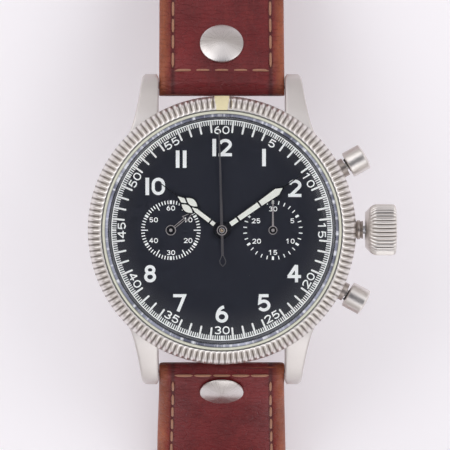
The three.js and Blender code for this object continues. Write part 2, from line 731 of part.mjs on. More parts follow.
// Walks along the slopes and returns a function from distance to the place and slope of the underside.
function strapPath(slopes, length) {
  const first = slopeAt(slopes, 0);
  const places = [[BAR.y - STRAP.fold * Math.sin(first), BAR.z - STRAP.fold * Math.cos(first)]];
  for (let s = 0; s < length + 5; s += PATH_STEP) {
    const a = slopeAt(slopes, s + PATH_STEP / 2);
    const [y, z] = places.at(-1);
    places.push([y + PATH_STEP * Math.cos(a), z - PATH_STEP * Math.sin(a)]);
  }
  return (s) => {
    const i = Math.max(0, Math.min(places.length - 2, Math.floor(s / PATH_STEP)));
    const f = s / PATH_STEP - i;
    const [y0, z0] = places[i];
    const [y1, z1] = places[i + 1];
    return { y: y0 + f * (y1 - y0), z: z0 + f * (z1 - z0), slope: slopeAt(slopes, Math.max(0, s)) };
  };
}

// Moves a solid drawn about the origin, +Y along the strap and +Z out of it, to a distance along the path.
function onPath(made, path, s, lift) {
  const { y, z, slope } = path(s);
  return made
    .rotate([-THREE.MathUtils.radToDeg(slope), 0, 0])
    .translate([0, y + lift * Math.sin(slope), z + lift * Math.cos(slope)]);
}

function smooth(x) {
  const t = Math.max(0, Math.min(1, x));
  return t * t * (3 - 2 * t);
}

// Thickness and width of each strap along its length.
function thickness(s) {
  return 2 * STRAP.fold + 0.7 * smooth(s / 5) - 1.4 * smooth((s - 14) / 22);
}

const width12 = (s) => STRAP.width - (STRAP.width - STRAP.end) * smooth((s - 20) / 50);

function width6(s) {
  const flare = 1.0 * smooth(s / 24) - 3.0 * smooth((s - 26) / 60);
  const tip = Math.max(0, (s - (LENGTH_6 - 9)) / 9);
  return (STRAP.width + flare) * Math.max(0.3, Math.sqrt(Math.max(0, 1 - tip * tip)));
}

function strapBand(path, length, width, steps) {
  const geometry = new THREE.BoxGeometry(1, length, 1, 1, steps, 1);
  const place = geometry.attributes.position;
  for (let i = 0; i < place.count; i += 1) {
    const s = place.getY(i) + length / 2;
    const h = (place.getZ(i) + 0.5) * thickness(s);
    const { y, z, slope } = path(s);
    place.setXYZ(i, place.getX(i) * width(s), y + h * Math.sin(slope), z + h * Math.cos(slope));
  }
  return solid(geometry);
}

function barRoll(r, halfLength, sides = 16) {
  return alongX(rod(r, -halfLength, halfLength, sides));
}

const path12 = strapPath(SLOPES_12, LENGTH_12);
const path6 = strapPath(SLOPES_6, LENGTH_6);
const RIVET_12_S = 6.9;
const RIVET_6_S = 3.2;

// The buckle bar runs through the rolled end of the short strap.
const BUCKLE = { barR: 0.75, rollR: 1.35, frame: [23.6, 13.5], rim: 2.2, thick: 1.9, tongue: 1.9 };
const FIXED_KEEPER_S = 65;
const FREE_KEEPER_S = 52;

function strapRoot() {
  return barRoll(STRAP.fold, STRAP.width / 2).translate([0, BAR.y, BAR.z]);
}

function barBore() {
  return barRoll(BAR.r + 0.08, 12).translate([0, BAR.y, BAR.z]);
}

function rivetHole(path, s) {
  return onPath(rod(RIVET.shank + 0.12, -2, 7, 12), path, s, 0);
}

function strap12() {
  const band = strapBand(path12, LENGTH_12, width12, 24);
  const roll = onPath(barRoll(BUCKLE.rollR, STRAP.end / 2, 14), path12, LENGTH_12, BUCKLE.rollR);
  const bore = onPath(barRoll(BUCKLE.barR + 0.08, 12), path12, LENGTH_12, BUCKLE.rollR);
  const slot = onPath(box([BUCKLE.tongue + 1.1, 8, 8], [0, 1.2, 0]), path12, LENGTH_12, BUCKLE.rollR);
  return cut(join(band, strapRoot(), roll), barBore(), rivetHole(path12, RIVET_12_S), bore, slot);
}

function strap6() {
  const holes = [];
  for (let i = 0; i < 7; i += 1) holes.push(onPath(rod(1.0, -3, 6, 8), path6, 62 + 6.5 * i, 0));
  return cut(
    join(strapBand(path6, LENGTH_6, width6, 34), strapRoot()),
    barBore(),
    rivetHole(path6, RIVET_6_S),
    ...holes,
  ).rotate([0, 0, 180]);
}

// A shallow cone on a shank, closed by a washer head below the strap.
function rivet(path, s, seat) {
  const top = thickness(s) + seat;
  const body = turned(
    [[0, -0.55], [1.9, -0.55], [1.9, -0.12], [RIVET.shank, -0.12], [RIVET.shank, top],
      [RIVET.r, top], [RIVET.r, top + 0.25], [1.9, top + 0.75], [0, top + 1.05]],
    16,
  );
  return onPath(body, path, s, 0);
}

function springBar(sy) {
  return join(barRoll(BAR.r, 10.0, 12), barRoll(0.5, 11.2, 8)).translate([0, sy * BAR.y, BAR.z]);
}

// A loop of leather round the strap, with room above it for the other strap.
function keeper(s, wide, room) {
  const [inW, inH, wall] = [wide + room, 6.4, 1.1];
  const outer = [[-1, -1], [1, -1], [1, 1], [-1, 1]].map(([a, b]) => [
    a * (inW / 2 + wall),
    inH / 2 + b * (inH / 2 + wall),
  ]);
  const inner = [[-1, 0], [-1, 1], [1, 1], [1, 0]].map(([a, b]) => [(a * inW) / 2, b * inH]);
  const loop = extruded(outer, -2.4, 2.4, [inner]).rotate([90, 0, 0]);
  return onPath(loop, path12, s, -0.15);
}

function buckleFrame() {
  const [w, l] = BUCKLE.frame;
  const r = 2.6;
  const outer = [];
  const corners = [
    [w / 2 - r, -0.6, -90], [w / 2 - r, l - r, 0], [-w / 2 + r, l - r, 90], [-w / 2 + r, -0.6, 180],
  ];
  for (const [cx, cy, a0] of corners) {
    for (let i = 0; i <= 4; i += 1) {
      const a = deg(a0 + 22.5 * i);
      const ry = cy < 0 ? 1.2 : r;
      outer.push([cx + r * Math.cos(a), cy + ry * Math.sin(a)]);
    }
  }
  const inW = w / 2 - BUCKLE.rim;
  const inside = [[-inW, -4], [inW, -4], [inW, l - BUCKLE.rim], [-inW, l - BUCKLE.rim]];
  const plate = cut(extruded(outer, -BUCKLE.thick / 2, BUCKLE.thick / 2), extruded(inside, -3, 3));
  const bore = barRoll(BUCKLE.barR + 0.07, w);
  return onPath(cut(plate, bore), path12, LENGTH_12, BUCKLE.rollR);
}

function buckleTongue() {
  const [, l] = BUCKLE.frame;
  const ring = cut(barRoll(1.3, BUCKLE.tongue / 2, 12), barRoll(BUCKLE.barR + 0.08, 5, 12));
  const side = extruded(
    [[0.95, 0.35], [3, 0.85], [l - 3, 1.05], [l + 0.2, 1.05], [l + 0.2, 1.75], [l - 3, 1.95],
      [3, 1.75], [0.6, 1.1]],
    -BUCKLE.tongue / 2,
    BUCKLE.tongue / 2,
  ).rotate([90, 0, 90]);
  return onPath(join(ring, side), path12, LENGTH_12, BUCKLE.rollR);
}

add("spring_bar_12", springBar(1), MATERIAL.springSteel);
add("spring_bar_6", springBar(-1), MATERIAL.springSteel);
add("strap_12", strap12(), MATERIAL.leather);
add("strap_6", strap6(), MATERIAL.leather);
add("rivet_12", rivet(path12, RIVET_12_S, 0.12), MATERIAL.brushedSteel);
add("rivet_6", rivet(path6, RIVET_6_S, 0.3).rotate([0, 0, 180]), MATERIAL.brushedSteel);
add("fixed_keeper", keeper(FIXED_KEEPER_S, width12(FIXED_KEEPER_S), 0.7), MATERIAL.leather);
add("free_keeper", keeper(FREE_KEEPER_S, width12(FREE_KEEPER_S), 1.1), MATERIAL.leather);
add("buckle_frame", buckleFrame(), MATERIAL.polishedSteel);
add(
  "buckle_bar",
  onPath(barRoll(BUCKLE.barR, BUCKLE.frame[0] / 2 - 0.2, 12), path12, LENGTH_12, BUCKLE.rollR),
  MATERIAL.springSteel,
);
add("buckle_tongue", buckleTongue(), MATERIAL.polishedSteel);

export default watch;
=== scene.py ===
"""A chronograph wristwatch on an open leather strap, dressed round its CAD frame.

Sizes are millimetres in the row frame (+Z out of the dial, +Y to 12 o'clock, +X to the crown);
piece() turns them into metres.
"""

import math
import random

import bmesh
import bpy
from mathutils import Matrix, Vector


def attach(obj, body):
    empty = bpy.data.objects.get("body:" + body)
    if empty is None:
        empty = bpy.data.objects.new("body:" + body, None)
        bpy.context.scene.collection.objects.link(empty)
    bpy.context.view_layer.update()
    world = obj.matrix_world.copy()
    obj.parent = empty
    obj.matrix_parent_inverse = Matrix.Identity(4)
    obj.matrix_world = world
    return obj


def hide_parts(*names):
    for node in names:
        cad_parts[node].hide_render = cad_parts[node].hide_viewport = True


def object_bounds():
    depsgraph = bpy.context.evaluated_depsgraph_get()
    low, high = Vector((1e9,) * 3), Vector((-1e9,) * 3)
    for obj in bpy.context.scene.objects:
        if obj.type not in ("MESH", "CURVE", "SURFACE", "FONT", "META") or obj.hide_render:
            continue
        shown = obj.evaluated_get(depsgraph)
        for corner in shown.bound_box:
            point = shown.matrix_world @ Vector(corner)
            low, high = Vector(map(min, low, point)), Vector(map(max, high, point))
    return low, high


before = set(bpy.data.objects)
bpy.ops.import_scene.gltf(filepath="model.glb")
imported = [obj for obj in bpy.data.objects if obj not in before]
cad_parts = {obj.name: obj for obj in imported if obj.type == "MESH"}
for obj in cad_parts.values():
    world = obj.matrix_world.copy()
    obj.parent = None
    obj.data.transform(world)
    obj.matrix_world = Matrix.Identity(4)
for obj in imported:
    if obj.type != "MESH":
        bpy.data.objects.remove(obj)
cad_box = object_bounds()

MM = 0.001
TURN = 2 * math.pi

# ---------------- driving sizes

RING = 256  # sides of the large round pieces
DIAL_Z = 9.6  # the dial's upper face
PRINT = 0.025  # height of the printing
LAYER = 0.006  # one printed stroke crosses another this much higher
FLUTES = 140
CROWN_FLUTES = 38
LUG_INNER = 10.2  # half the gap between the lugs
SUB_X = 8.15  # from the centre to each sub-dial
CROWN_Z = 7.0
PUSHER = {"angle": 29, "offset": 0.8, "z": 5.6}  # the axis slants, and passes beside the centre
BAR = {"y": 23.2, "z": 3.9}  # the spring bar at 12
FOLD = 1.7  # the strap's fold stands this far from the bar's axis
HAND_ANGLE = {"hour": -52.5, "minute": 55.1, "chrono": -1.6, "seconds": 50.6, "counter": 0.0}
HAND_Z = {"seconds": 9.74, "hour": 9.98, "minute": 10.24, "chrono": 10.5}
HAND_THICK = 0.14
SLOPES_12 = [(0, 33), (9, 30), (15, 22), (24, 12), (74, 7.5)]  # distance from the bar, degrees down
SLOPES_6 = [(0, 59), (3.2, 52), (9, 49), (17, 44), (24, 33), (35, 0), (118, 0)]
LENGTH_12 = 74
LENGTH_6 = 116
HALF = 10.0  # half the strap's nominal width
RIVET_12_S = 6.5  # an S is a distance along the strap from its bar
RIVET_6_S = 2.3
HOLES_S = 62
HOLE_PITCH = 6.5
FREE_KEEPER_S = 52
FIXED_KEEPER_S = 65
BUCKLE_R = 1.35  # the strap's roll round the buckle's bar
STITCH_IN = 2.2  # from the strap's edge to its stitching
STITCH_PITCH = 3.3
CROSS_PITCH = 3.05
STITCH_LENGTH = 3.0
THREAD_R = 0.21
SEAM_12 = {"start": 2.2, "end": 70, "cross": 1.7}
SEAM_6 = {"start": 0.4, "end": 106, "tilt": -12, "lift": 1.9}  # its cross row stands over the bar


# ---------------- materials


def add_node(tree, kind, inputs=(), **settings):
    """Makes a shader node; each input takes a value or another node's socket."""
    made = tree.nodes.new(kind)
    for key, value in settings.items():
        setattr(made, key, value)
    for socket, value in dict(inputs).items():
        if isinstance(value, bpy.types.NodeSocket):
            tree.links.new(value, made.inputs[socket])
        else:
            made.inputs[socket].default_value = value
    return made


def toned(color, share):
    return tuple(share * c for c in color)


class Finish:
    """A procedural material: a Principled shader and short ways to drive it with noise."""

    def __init__(self, name, color, roughness, metallic=0.0, **sockets):
        self.material = bpy.data.materials.new(name)
        self.material.use_nodes = True
        self.tree = self.material.node_tree
        self.shader = self.tree.nodes["Principled BSDF"]
        self.shader.inputs["Base Color"].default_value = (*color, 1)
        self.shader.inputs["Roughness"].default_value = roughness
        self.shader.inputs["Metallic"].default_value = metallic
        for socket, value in sockets.items():
            self.shader.inputs[socket.replace("_", " ")].default_value = value
        self.place = self.node("ShaderNodeTexCoord").outputs["Object"]
        self.last_bump = None

    def node(self, kind, inputs=(), **settings):
        return add_node(self.tree, kind, inputs, **settings)

    def link(self, start, end):
        self.tree.links.new(start, end)

    def attribute(self, name, output="Fac"):
        return self.node("ShaderNodeAttribute", attribute_name=name).outputs[output]

    def vector(self, operation, inputs, output="Vector"):
        return self.node("ShaderNodeVectorMath", inputs, operation=operation).outputs[output]

    def math(self, operation, first, second=0.0):
        return self.node("ShaderNodeMath", {0: first, 1: second}, operation=operation).outputs[0]

    def scaled(self, scale):
        """The place times features per millimetre: one number, or one each along X, Y and Z."""
        each = scale if isinstance(scale, tuple) else (scale, scale, scale)
        return self.vector("MULTIPLY", {0: self.place, 1: [s / MM for s in each]})

    def noise(self, scale, detail=3.0, roughness=0.5):
        inputs = {"Vector": self.scaled(scale), "Scale": 1.0, "Detail": detail, "Roughness": roughness}
        return self.node("ShaderNodeTexNoise", inputs).outputs[0]

    def cells(self, scale, feature="F1"):
        inputs = {"Vector": self.scaled(scale), "Scale": 1.0}
        return self.node("ShaderNodeTexVoronoi", inputs, feature=feature).outputs["Distance"]

    def flat(self):
        """The place without its height."""
        return self.vector("MULTIPLY", {0: self.place, 1: (1, 1, 0)})

    def around(self, streaks):
        """Noise that changes only with the angle about Z: radial brushing."""
        unit = self.vector("NORMALIZE", {0: self.flat()})
        scaled = self.vector("SCALE", {0: unit, "Scale": streaks})
        return self.node("ShaderNodeTexNoise", {"Vector": scaled, "Scale": 1.0, "Detail": 4.0}).outputs[0]

    def rings(self, per_mm):
        """Noise that changes only with the distance from Z: circular brushing."""
        distance = self.vector("LENGTH", {0: self.flat()}, "Value")
        inputs = {"W": self.math("MULTIPLY", distance, per_mm / MM), "Scale": 1.0, "Detail": 3.0}
        return self.node("ShaderNodeTexNoise", inputs, noise_dimensions="1D").outputs[0]

    def spread(self, value, low, high, start=0.3, end=0.7):
        inputs = {"Value": value, "From Min": start, "From Max": end, "To Min": low, "To Max": high}
        return self.node("ShaderNodeMapRange", inputs).outputs["Result"]

    def roughen(self, value, low, high):
        self.link(self.spread(value, low, high), self.shader.inputs["Roughness"])

    def mixed(self, factor, first, second):
        """A colour between two, each a colour or a socket."""
        start, end = ((*c, 1) if isinstance(c, tuple) else c for c in (first, second))
        inputs = {"Factor": factor, 6: start, 7: end}
        return self.node("ShaderNodeMix", inputs, data_type="RGBA").outputs[2]

    def paint(self, factor, first, second):
        self.link(self.mixed(factor, first, second), self.shader.inputs["Base Color"])

    def bump(self, height, depth):
        """Raises the surface by height times depth, in millimetres; calls add up."""
        inputs = {"Strength": 1.0, "Distance": depth * MM, "Height": height}
        if self.last_bump:
            inputs["Normal"] = self.last_bump
        self.last_bump = self.node("ShaderNodeBump", inputs).outputs["Normal"]
        self.link(self.last_bump, self.shader.inputs["Normal"])


def brushed_steel(name, color, grain, roughness=(0.26, 0.42)):
    """Satin steel; grain is the number of brush lines per millimetre along X, Y and Z."""
    finish = Finish(name, color, 0.33, 1.0)
    lines = finish.noise(grain, 4.0, 0.6)
    finish.roughen(lines, *roughness)
    finish.bump(lines, 0.006)
    finish.paint(finish.noise(0.12, 2.0), toned(color, 0.94), color)
    return finish.material


def polished_steel(name, color, roughness=0.12):
    """Polished steel with hairline scratches and slight handling marks."""
    finish = Finish(name, color, roughness, 1.0)
    finish.roughen(finish.noise(0.5, 5.0, 0.65), 0.7 * roughness, 1.7 * roughness)
    finish.bump(finish.noise((9, 2, 9)), 0.0015)
    return finish.material


def ringed_steel(name, color, center=None, radial=False, roughness=(0.22, 0.4)):
    """Steel brushed round its axis, or out from it; center names an attribute that holds the place."""
    finish = Finish(name, color, 0.3, 1.0)
    if center:
        finish.place = finish.attribute(center, "Vector")
    lines = finish.around(28.0) if radial else finish.rings(14.0)
    finish.roughen(lines, *roughness)
    finish.bump(lines, 0.009 if radial else 0.006)
    finish.paint(finish.spread(lines, 0.0, 1.0, 0.25, 0.75), toned(color, 0.84), color)
    return finish.material


def fluted_steel(name, color, groove_shade_color):
    """Bright lands with grooves painted darker and greyer as shade; the mesh says how deep each point lies.
    """
    finish = Finish(name, color, 0.2, 1.0)
    groove = finish.spread(finish.attribute("groove"), 0.0, 1.0, 0.35, 1.0)
    marks = finish.noise(1.5, 4.0)
    # painted shade: the deeper a point lies in a flute, the darker and greyer it is painted
    finish.paint(groove, color, groove_shade_color)
    finish.roughen(finish.math("ADD", groove, finish.math("MULTIPLY", marks, 0.3)), 0.3, 0.46)
    finish.bump(marks, 0.003)
    return finish.material


def worked_metal(name, color, roughness, per_mm):
    """Plates and wheels of the movement, with a fine grained or spotted surface."""
    finish = Finish(name, color, roughness, 1.0)
    spots = finish.cells(per_mm)
    finish.roughen(spots, 0.7 * roughness, 1.3 * roughness)
    finish.bump(spots, 0.004)
    finish.paint(finish.noise(0.4), toned(color, 0.85), color)
    return finish.material


def painted(name, color, roughness, grain=2.5, depth=0.003, **sockets):
    """Paint, print, lacquer or moulded rubber: one colour with a fine mottle and tooth."""
    finish = Finish(name, color, roughness, **sockets)
    tooth = finish.noise(grain, 4.0, 0.6)
    finish.paint(tooth, toned(color, 0.86), toned(color, 1.08))
    finish.roughen(tooth, 0.88 * roughness, min(1.0, 1.12 * roughness))
    finish.bump(tooth, depth)
    return finish.material


def glass(name):
    """Clear crystal that lets the light of the lamps through to the dial."""
    finish = Finish(name, (0.99, 1.0, 1.0), 0.0, Transmission_Weight=1.0, IOR=1.47)
    shadow = finish.node("ShaderNodeLightPath").outputs["Is Shadow Ray"]
    clear = finish.node("ShaderNodeBsdfTransparent").outputs[0]
    either = finish.node("ShaderNodeMixShader", {0: shadow, 1: finish.shader.outputs[0], 2: clear})
    finish.link(either.outputs[0], finish.tree.nodes["Material Output"].inputs["Surface"])
    specks = finish.spread(finish.noise(0.8, 5.0, 0.7), 0.0, 0.03, 0.6, 0.8)
    finish.link(specks, finish.shader.inputs["Roughness"])
    return finish.material


def glinting_edge(name):
    """The crystal's ground edge, painted with reflections: a blue band, dark and light in turn as painted
    sheen, with short white glints as painted highlights.
    """
    finish = Finish(name, (0.2, 0.22, 0.3), 0.25, Coat_Weight=0.5)
    # painted reflection: short white glints and a band that turns light and dark around the edge
    painted_glints = finish.spread(finish.around(22.0), 0.0, 1.0, 0.5, 0.62)
    clouds = finish.spread(finish.around(2.2), 0.1, 0.85, 0.38, 0.62)
    band = finish.mixed(clouds, (0.05, 0.055, 0.1), (0.6, 0.63, 0.8))
    finish.paint(painted_glints, band, (0.85, 0.87, 0.95))
    return finish.material


def leather(name):
    """Waxed burgundy leather: pores, creases, darker clouds, a tan burnished edge and painted shade along
    the stitch groove.
    """
    finish = Finish(name, (0.13, 0.02, 0.02), 0.36, Coat_Weight=0.1, Coat_Roughness=0.2,
                    Specular_IOR_Level=0.36)
    edge = finish.attribute("edge")
    clouds = finish.noise((0.14, 0.1, 0.14), 5.0, 0.62)
    shade = finish.spread(clouds, 0.0, 1.0)
    streaks = finish.noise((1.1, 0.16, 0.6), 4.0, 0.6)
    body = finish.mixed(shade, (0.11, 0.0075, 0.01), (0.21, 0.018, 0.021))
    body = finish.mixed(finish.spread(streaks, 0.0, 0.4, 0.5, 0.85), body, (0.28, 0.036, 0.03))
    wobble = finish.math("ADD", edge, finish.spread(streaks, -0.35, 0.35))
    rim = finish.spread(wobble, 1.0, 0.0, 0.7, 2.0)
    tan = finish.mixed(shade, (0.17, 0.034, 0.016), (0.4, 0.11, 0.048))
    # painted shade: near the stitch line the leather is painted near black, where the groove lies in shade
    beside = finish.math("ABSOLUTE", finish.math("SUBTRACT", edge, STITCH_IN))
    painted_seam_shade = finish.spread(beside, 0.6, 0.0, 0.12, 0.5)
    finish.paint(painted_seam_shade, finish.mixed(rim, body, tan), (0.04, 0.007, 0.007))
    finish.roughen(finish.math("ADD", finish.math("MULTIPLY", clouds, 0.6), streaks), 0.24, 0.42)
    finish.bump(finish.spread(finish.cells(3.2), 0.0, 1.0, 0.0, 0.5), 0.05)
    finish.bump(finish.spread(finish.cells((0.5, 1.3, 0.5), "DISTANCE_TO_EDGE"), 0.0, 1.0, 0.0, 0.08), 0.06)
    finish.bump(streaks, 0.09)
    finish.bump(clouds, 0.3)
    return finish.material


def thread(name):
    """Waxed linen thread with its twist."""
    finish = Finish(name, (0.5, 0.24, 0.13), 0.7, Sheen_Weight=0.25)
    twist = finish.noise((9, 5, 9), 2.0)
    finish.paint(twist, (0.3, 0.125, 0.07), (0.56, 0.29, 0.18))
    finish.bump(twist, 0.05)
    return finish.material


STEEL = (0.77, 0.735, 0.72)
BRIGHT = (0.84, 0.81, 0.79)
WARM = (0.81, 0.775, 0.745)
MAT = {
    "lugs": brushed_steel("lug_satin", STEEL, (9.0, 0.35, 9.0), (0.4, 0.55)),
    "band": brushed_steel("band_satin", STEEL, (0.5, 0.5, 12.0)),
    "back": ringed_steel("back_ringed_steel", STEEL),
    "rivet": ringed_steel("rivet_radial_steel", STEEL, "local", True, (0.24, 0.42)),
    # the flutes of the bezel and the crown are painted darker in their grooves as shade
    "bezel": fluted_steel("bezel_fluted_steel", WARM, (0.3, 0.27, 0.25)),
    "crown": fluted_steel("crown_fluted_steel", WARM, (0.33, 0.3, 0.28)),
    # painted shade: the crown tube and pusher collars are the case's steel toned darker and browner, as
    # they sit in shade between case and caps
    "tube": brushed_steel("tube_satin_shaded", (0.46, 0.41, 0.38), 3.0, (0.3, 0.42)),
    "pusher": brushed_steel("pusher_satin", WARM, 3.0, (0.3, 0.42)),
    "polished": polished_steel("polished_steel_worn", BRIGHT),
    "spring": polished_steel("spring_steel_drawn", (0.5, 0.5, 0.52), 0.22),
    "brass": worked_metal("brass_grained", (0.72, 0.5, 0.2), 0.3, 5.0),
    "nickel": worked_metal("nickel_spotted", (0.68, 0.67, 0.63), 0.3, 1.4),
    "dial": painted("dial_navy_black", (0.007, 0.0085, 0.019), 0.5, 3.0, 0.001, Specular_IOR_Level=0.4),
    "flange": painted("flange_navy", (0.02, 0.023, 0.042), 0.45, 3.0, 0.002),
    # painted light: the print, the numerals and the hand lume glow faintly white, brighter than the lamps
    # make them
    "print": painted("dial_print_white_glow", (0.9, 0.91, 0.9), 0.6, 3.0, 0.001, Emission_Strength=0.28),
    "numeral": painted("numeral_lume", (0.9, 0.92, 0.93), 0.65, 3.0, 0.002, Emission_Strength=0.18),
    "lume": painted("hand_lume", (0.88, 0.885, 0.82), 0.6, 2.0, 0.004, Emission_Strength=0.08),
    "marker": painted("marker_lume", (0.88, 0.79, 0.5), 0.55, 1.2, 0.02),
    "hand": painted("hand_gloss_black", (0.012, 0.012, 0.014), 0.16, 0.8, 0.001, Coat_Weight=0.4),
    "needle": painted("needle_grey_lacquer", (0.085, 0.078, 0.084), 0.32, 0.5, 0.001, Coat_Weight=0.3),
    "pale": painted("needle_silver_edge", (0.46, 0.42, 0.42), 0.35, 1.0, 0.001, Metallic=0.3),
    "seal": painted("crystal_seal_cream", (0.76, 0.765, 0.64), 0.5, 0.8, 0.01),
    # the crystal's edge ring carries painted reflections
    "bevel": glinting_edge("crystal_edge_painted_glints"),
    "rubber": painted("seal_rubber", (0.012, 0.012, 0.012), 0.75, 4.0, 0.006),
    "glass": glass("crystal_clear"),
    "leather": leather("leather_burgundy"),
    "thread": thread("thread_tan"),
}
LOOKS = {  # the looks in each CAD material's slot; CAD nodes that stay in sight wear the first
    "brushed_steel": ("lugs", "band", "back", "rivet", "bezel", "crown"),
    "polished_steel": ("polished", "tube", "pusher"),
    "spring_steel": ("spring",),
    "brass": ("brass",),
    "nickel_plate": ("nickel",),
    "dial_black": ("dial", "flange"),
    "hand_black": ("hand", "needle", "pale"),
    "lume": ("marker", "lume", "numeral", "print"),
    "crystal": ("glass", "bevel"),
    "crystal_seal": ("seal",),
    "rubber": ("rubber",),
    "leather": ("leather", "thread"),
}
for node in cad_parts.values():
    for index, old in enumerate(node.data.materials):
        node.data.materials[index] = MAT[LOOKS[old.name.split(".")[0]][0]]


# ---------------- mesh building


class Shape:
    """Vertices in millimetres and faces; marks are named values kept for each vertex."""

    def __init__(self):
        self.verts = []
        self.faces = []
        self.marks = {}

    def add(self, verts, faces, **marks):
        start = len(self.verts)
        self.verts += [Vector(v) for v in verts]
        self.faces += [tuple(start + i for i in face) for face in faces]
        for name, values in marks.items():
            blank = Vector() if isinstance(values[0], Vector) else 0.0
            self.marks.setdefault(name, [blank] * start).extend(values)
        for values in self.marks.values():
            blank = Vector() if isinstance(values[0], Vector) else 0.0
            values.extend([blank] * (len(self.verts) - len(values)))
        return self

    def moved(self, matrix):
        self.verts = [matrix @ v for v in self.verts]
        return self

    def join(self, other):
        return self.add(other.verts, other.faces, **other.marks)


def mesh_of(name, shape):
    """A mesh in metres with its faces turned outwards."""
    mesh = bpy.data.meshes.new(name)
    mesh.from_pydata([v * MM for v in shape.verts], [], shape.faces)
    made = bmesh.new()
    made.from_mesh(mesh)
    bmesh.ops.recalc_face_normals(made, faces=made.faces)
    made.to_mesh(mesh)
    made.free()
    return mesh


def show(name, data):
    obj = bpy.data.objects.new(name, data)
    bpy.context.scene.collection.objects.link(obj)
    return obj


def piece(name, shape, look, body, replaces=(), sharp=32.0):
    """Makes a visible piece that rides on a body and stands for CAD nodes."""
    mesh = mesh_of(name, shape)
    mesh.shade_smooth()
    mesh.set_sharp_from_angle(angle=math.radians(sharp))
    mesh.materials.append(MAT[look])
    for mark, values in shape.marks.items():
        if isinstance(values[0], Vector):
            layer = mesh.attributes.new(mark, "FLOAT_VECTOR", "POINT")
            layer.data.foreach_set("vector", [c * MM for v in values for c in v])
        else:
            mesh.attributes.new(mark, "FLOAT", "POINT").data.foreach_set("value", values)
    obj = show(name, mesh)
    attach(obj, body)
    if replaces:
        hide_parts(*replaces)
    return obj


def smooth(x):
    """Eases from 0 to 1 while x goes from 0 to 1."""
    t = max(0.0, min(1.0, x))
    return t * t * (3 - 2 * t)


def rectangle(x0, x1, y0, y1):
    return [(x0, y0), (x1, y0), (x1, y1), (x0, y1)]


def fillet(points, radius, closed=True, steps=4):
    """Rounds the corners of an outline of pairs, by at most 0.45 of each side."""
    count = len(points)
    out = []
    for i, point in enumerate(points):
        here = Vector(point)
        if not closed and i in (0, count - 1):
            out.append(tuple(here))
            continue
        before = Vector(points[i - 1]) - here
        after = Vector(points[(i + 1) % count]) - here
        start = here + before * min(0.45, radius / max(before.length, 1e-9))
        end = here + after * min(0.45, radius / max(after.length, 1e-9))
        for k in range(steps + 1):
            t = k / steps
            out.append(tuple(start * (1 - t) ** 2 + here * 2 * t * (1 - t) + end * t * t))
    return out


def spaced(points, step):
    """An open outline with its points no further apart than a step."""
    out = [points[0]]
    for a, b in zip(points, points[1:]):
        count = max(1, math.ceil(math.dist(a, b) / step))
        out += [tuple(Vector(a).lerp(Vector(b), i / count)) for i in range(1, count + 1)]
    return out


def arc(cx, cy, rx, ry, start, end, steps=14):
    """Points on an ellipse from one angle to another, in degrees."""
    out = []
    for i in range(steps + 1):
        a = math.radians(start + (end - start) * i / steps)
        out.append((cx + rx * math.cos(a), cy + ry * math.sin(a)))
    return out


def lathe(profile, sides=96, wave=None):
    """Turns (r, z) points about Z; wave moves them, by turn and ring.

    A profile that starts off the axis closes on itself.
    """
    verts, rings, local, marks = [], [], [], []
    closed = profile[0][0] > 1e-6
    for i, (r, z) in enumerate(profile):
        count = 1 if r <= 1e-6 else sides
        rings.append((len(verts), count))
        for k in range(count):
            a = TURN * k / sides
            dr, dz, mark = wave(a, i) if wave else (0.0, 0.0, 0.0)
            verts.append(((r + dr) * math.cos(a), (r + dr) * math.sin(a), z + dz))
            local.append(Vector(verts[-1]))
            marks.append(mark)
    faces = []
    pairs = list(zip(rings, rings[1:])) + ([(rings[-1], rings[0])] if closed else [])
    for (a, na), (b, nb) in pairs:
        for k in range(sides):
            n = (k + 1) % sides
            if na == 1 and nb > 1:
                faces.append((a, b + k, b + n))
            elif nb == 1 and na > 1:
                faces.append((a + k, b, a + n))
            elif na > 1:
                faces.append((a + k, b + k, b + n, a + n))
    return Shape().add(verts, faces, local=local, groove=marks)


def grid(rows, closed=False, **marks):
    """Joins equal rows of points into a tube, which is capped or else closes on itself."""
    width, count = len(rows[0]), len(rows)
    faces = []
    for i in range(count if closed else count - 1):
        a, b = i * width, (i + 1) % count * width
        for k in range(width):
            n = (k + 1) % width
            faces.append((a + k, a + n, b + n, b + k))
    if not closed:
        faces += [tuple(range(width)), tuple(range((count - 1) * width, count * width))]
    return Shape().add([v for row in rows for v in row], faces, **marks)


def oval(rx, ry, count=12, power=1.0):
    """Points round an ellipse; a power under 1 squares it off."""
    out = []
    for k in range(count):
        c, s = math.cos(TURN * k / count), math.sin(TURN * k / count)
        out.append((rx * math.copysign(abs(c) ** power, c), ry * math.copysign(abs(s) ** power, s)))
    return out


def sweep(path, section, side, sizes=None, closed=False):
    """Carries a section along points; its first axis is normal to the path and to side."""
    path = [Vector(p) for p in path]
    rows = []
    for i, point in enumerate(path):
        ahead = path[(i + 1) % len(path)] if closed else path[min(i + 1, len(path) - 1)]
        behind = path[i - 1] if closed else path[max(i - 1, 0)]
        along = (ahead - behind).normalized()
        across = along.cross(Vector(side)).normalized()
        up = across.cross(along)
        size = sizes[i] if sizes else 1.0
        rows.append([point + across * (u * size) + up * (v * size) for u, v in section])
    return grid(rows, closed)


def plate(outline, z0, z1, bevel=0.0):
    """A flat prism over an outline, with a bevelled upper edge."""
    count = len(outline)
    levels = [(z0, 0.0), (z1 - bevel, 0.0), (z1, bevel)] if bevel else [(z0, 0.0), (z1, 0.0)]
    area = sum(a[0] * b[1] - b[0] * a[1] for a, b in zip(outline, outline[1:] + outline[:1]))
    way = 1 if area > 0 else -1
    rows = []
    for z, inset in levels:
        row = []
        for i, (x, y) in enumerate(outline):
            before = Vector((x, y)) - Vector(outline[i - 1])
            after = Vector(outline[(i + 1) % count]) - Vector((x, y))
            tangent = (before.normalized() + after.normalized()).normalized()
            row.append((x - way * tangent.y * inset, y + way * tangent.x * inset, z))
        rows.append(row)
    return grid(rows)


